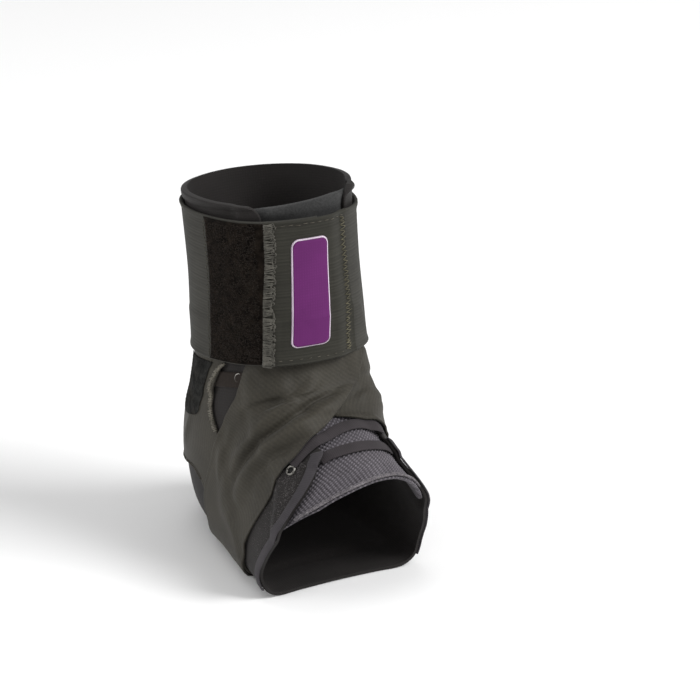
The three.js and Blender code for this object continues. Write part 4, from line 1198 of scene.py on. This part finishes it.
# fibres caught on the lateral wall beside the front edge
items = []
for _ in range(700):
    v0 = rng.uniform(9.3, 12.0)
    e = np.interp(v0, [9.0, 9.4, 9.7, 10.6, 11.3, 11.85], [-18.6, -19.5, -22.5, -32, -43.5, -59])
    u0 = e - rng.triangular(8, 10, 46)
    su, sv = steps_of(np.array(u0), np.array(v0))
    ang, r = rng.uniform(0, np.pi), rng.uniform(.3, .8)
    q = np.linspace(-1, 1, 4)
    items.append((u0 + np.cos(ang) * r * q * su, v0 + np.sin(ang) * r * q * sv, .02 + .16 * (1 - q ** 2)))
threads_at("wall_fibres", items, .09, "grey", "boot_nylon", lambda u, v: look_up(H["wall_out"], u, v), sides=4)

# heel seam: zigzag stitches down the back
items = []
for k, v0 in enumerate(np.arange(3.2, 7.6, .045)):
    su, sv = steps_of(np.array(180.0), np.array(v0))
    w = np.linspace(-1, 1, 5)
    q = (1 if k % 2 else -1) * w * 1.5
    items.append((180 + q * su, v0 + w * .022, .22 + .22 * (1 - w ** 2)))
threads_at("heel_seam_stitches", items, .2, "stitch", "boot_nylon", lambda u, v: look_up(H["wall_out"], u, v))

# ------------------------------------------------------------------ stage, light and camera
floor = bpy.data.meshes.new("floor")
floor.from_pydata([(-30, -30, -.0004), (30, -30, -.0004), (30, 30, -.0004), (-30, 30, -.0004)], [], [(0, 1, 2, 3)])
floor_obj = bpy.data.objects.new("floor", floor)
bpy.context.scene.collection.objects.link(floor_obj)
fm = bpy.data.materials.new("floor_pale")
fm.use_nodes = True
fm.node_tree.nodes["Principled BSDF"].inputs["Base Color"].default_value = (.93, .93, .93, 1)
fm.node_tree.nodes["Principled BSDF"].inputs["Roughness"].default_value = .9
floor.materials.append(fm)

bpy.context.scene.view_settings.view_transform = "Standard"
world = bpy.data.worlds.new("studio")
bpy.context.scene.world = world
world.use_nodes = True
world.node_tree.nodes["Background"].inputs[0].default_value = (1, 1, 1, 1)
world.node_tree.nodes["Background"].inputs[1].default_value = .34


def area(name, loc, target, size, power):
    light = bpy.data.lights.new(name, "AREA")
    light.shape, light.size, light.size_y = "RECTANGLE", size[0], size[1]
    light.energy = power
    obj = bpy.data.objects.new(name, light)
    bpy.context.scene.collection.objects.link(obj)
    obj.location = loc
    obj.rotation_euler = (Vector(target) - Vector(loc)).to_track_quat("-Z", "Y").to_euler()
    return obj


area("key", (1.9, -1.8, 2.35), (0, 0, .1), (1.7, 1.7), 118)
area("front_left", (-1.4, -2.3, 1.8), (0, 0, .1), (1.8, 1.8), 10)
area("top", (0, .6, 3.4), (0, 0, .1), (2.4, 2.4), 24)
area("left", (-2.7, .7, 1.15), (0, 0, .1), (1.3, 1.6), 36)

AZ_, EL_, DIST, SCALE, CX, CY = math.radians(-28), math.radians(22), 1.4, 1.93, 281.3, 374.0
back = Vector((math.sin(AZ_) * math.cos(EL_), -math.cos(AZ_) * math.cos(EL_), math.sin(EL_)))
cam = bpy.data.cameras.new("camera")
cam_obj = bpy.data.objects.new("camera", cam)
bpy.context.scene.collection.objects.link(cam_obj)
cam_obj.location = Vector((0, 0, .09)) + back * DIST
cam_obj.rotation_euler = (-back).to_track_quat("-Z", "Y").to_euler()
cam.sensor_width = 36
cam.lens = SCALE * DIST * 1000 * 36 / 700
cam.shift_x = (350 - CX) / 700
cam.shift_y = (CY - 350) / 700
cam.clip_start, cam.clip_end = .05, 100
bpy.context.scene.camera = cam_obj
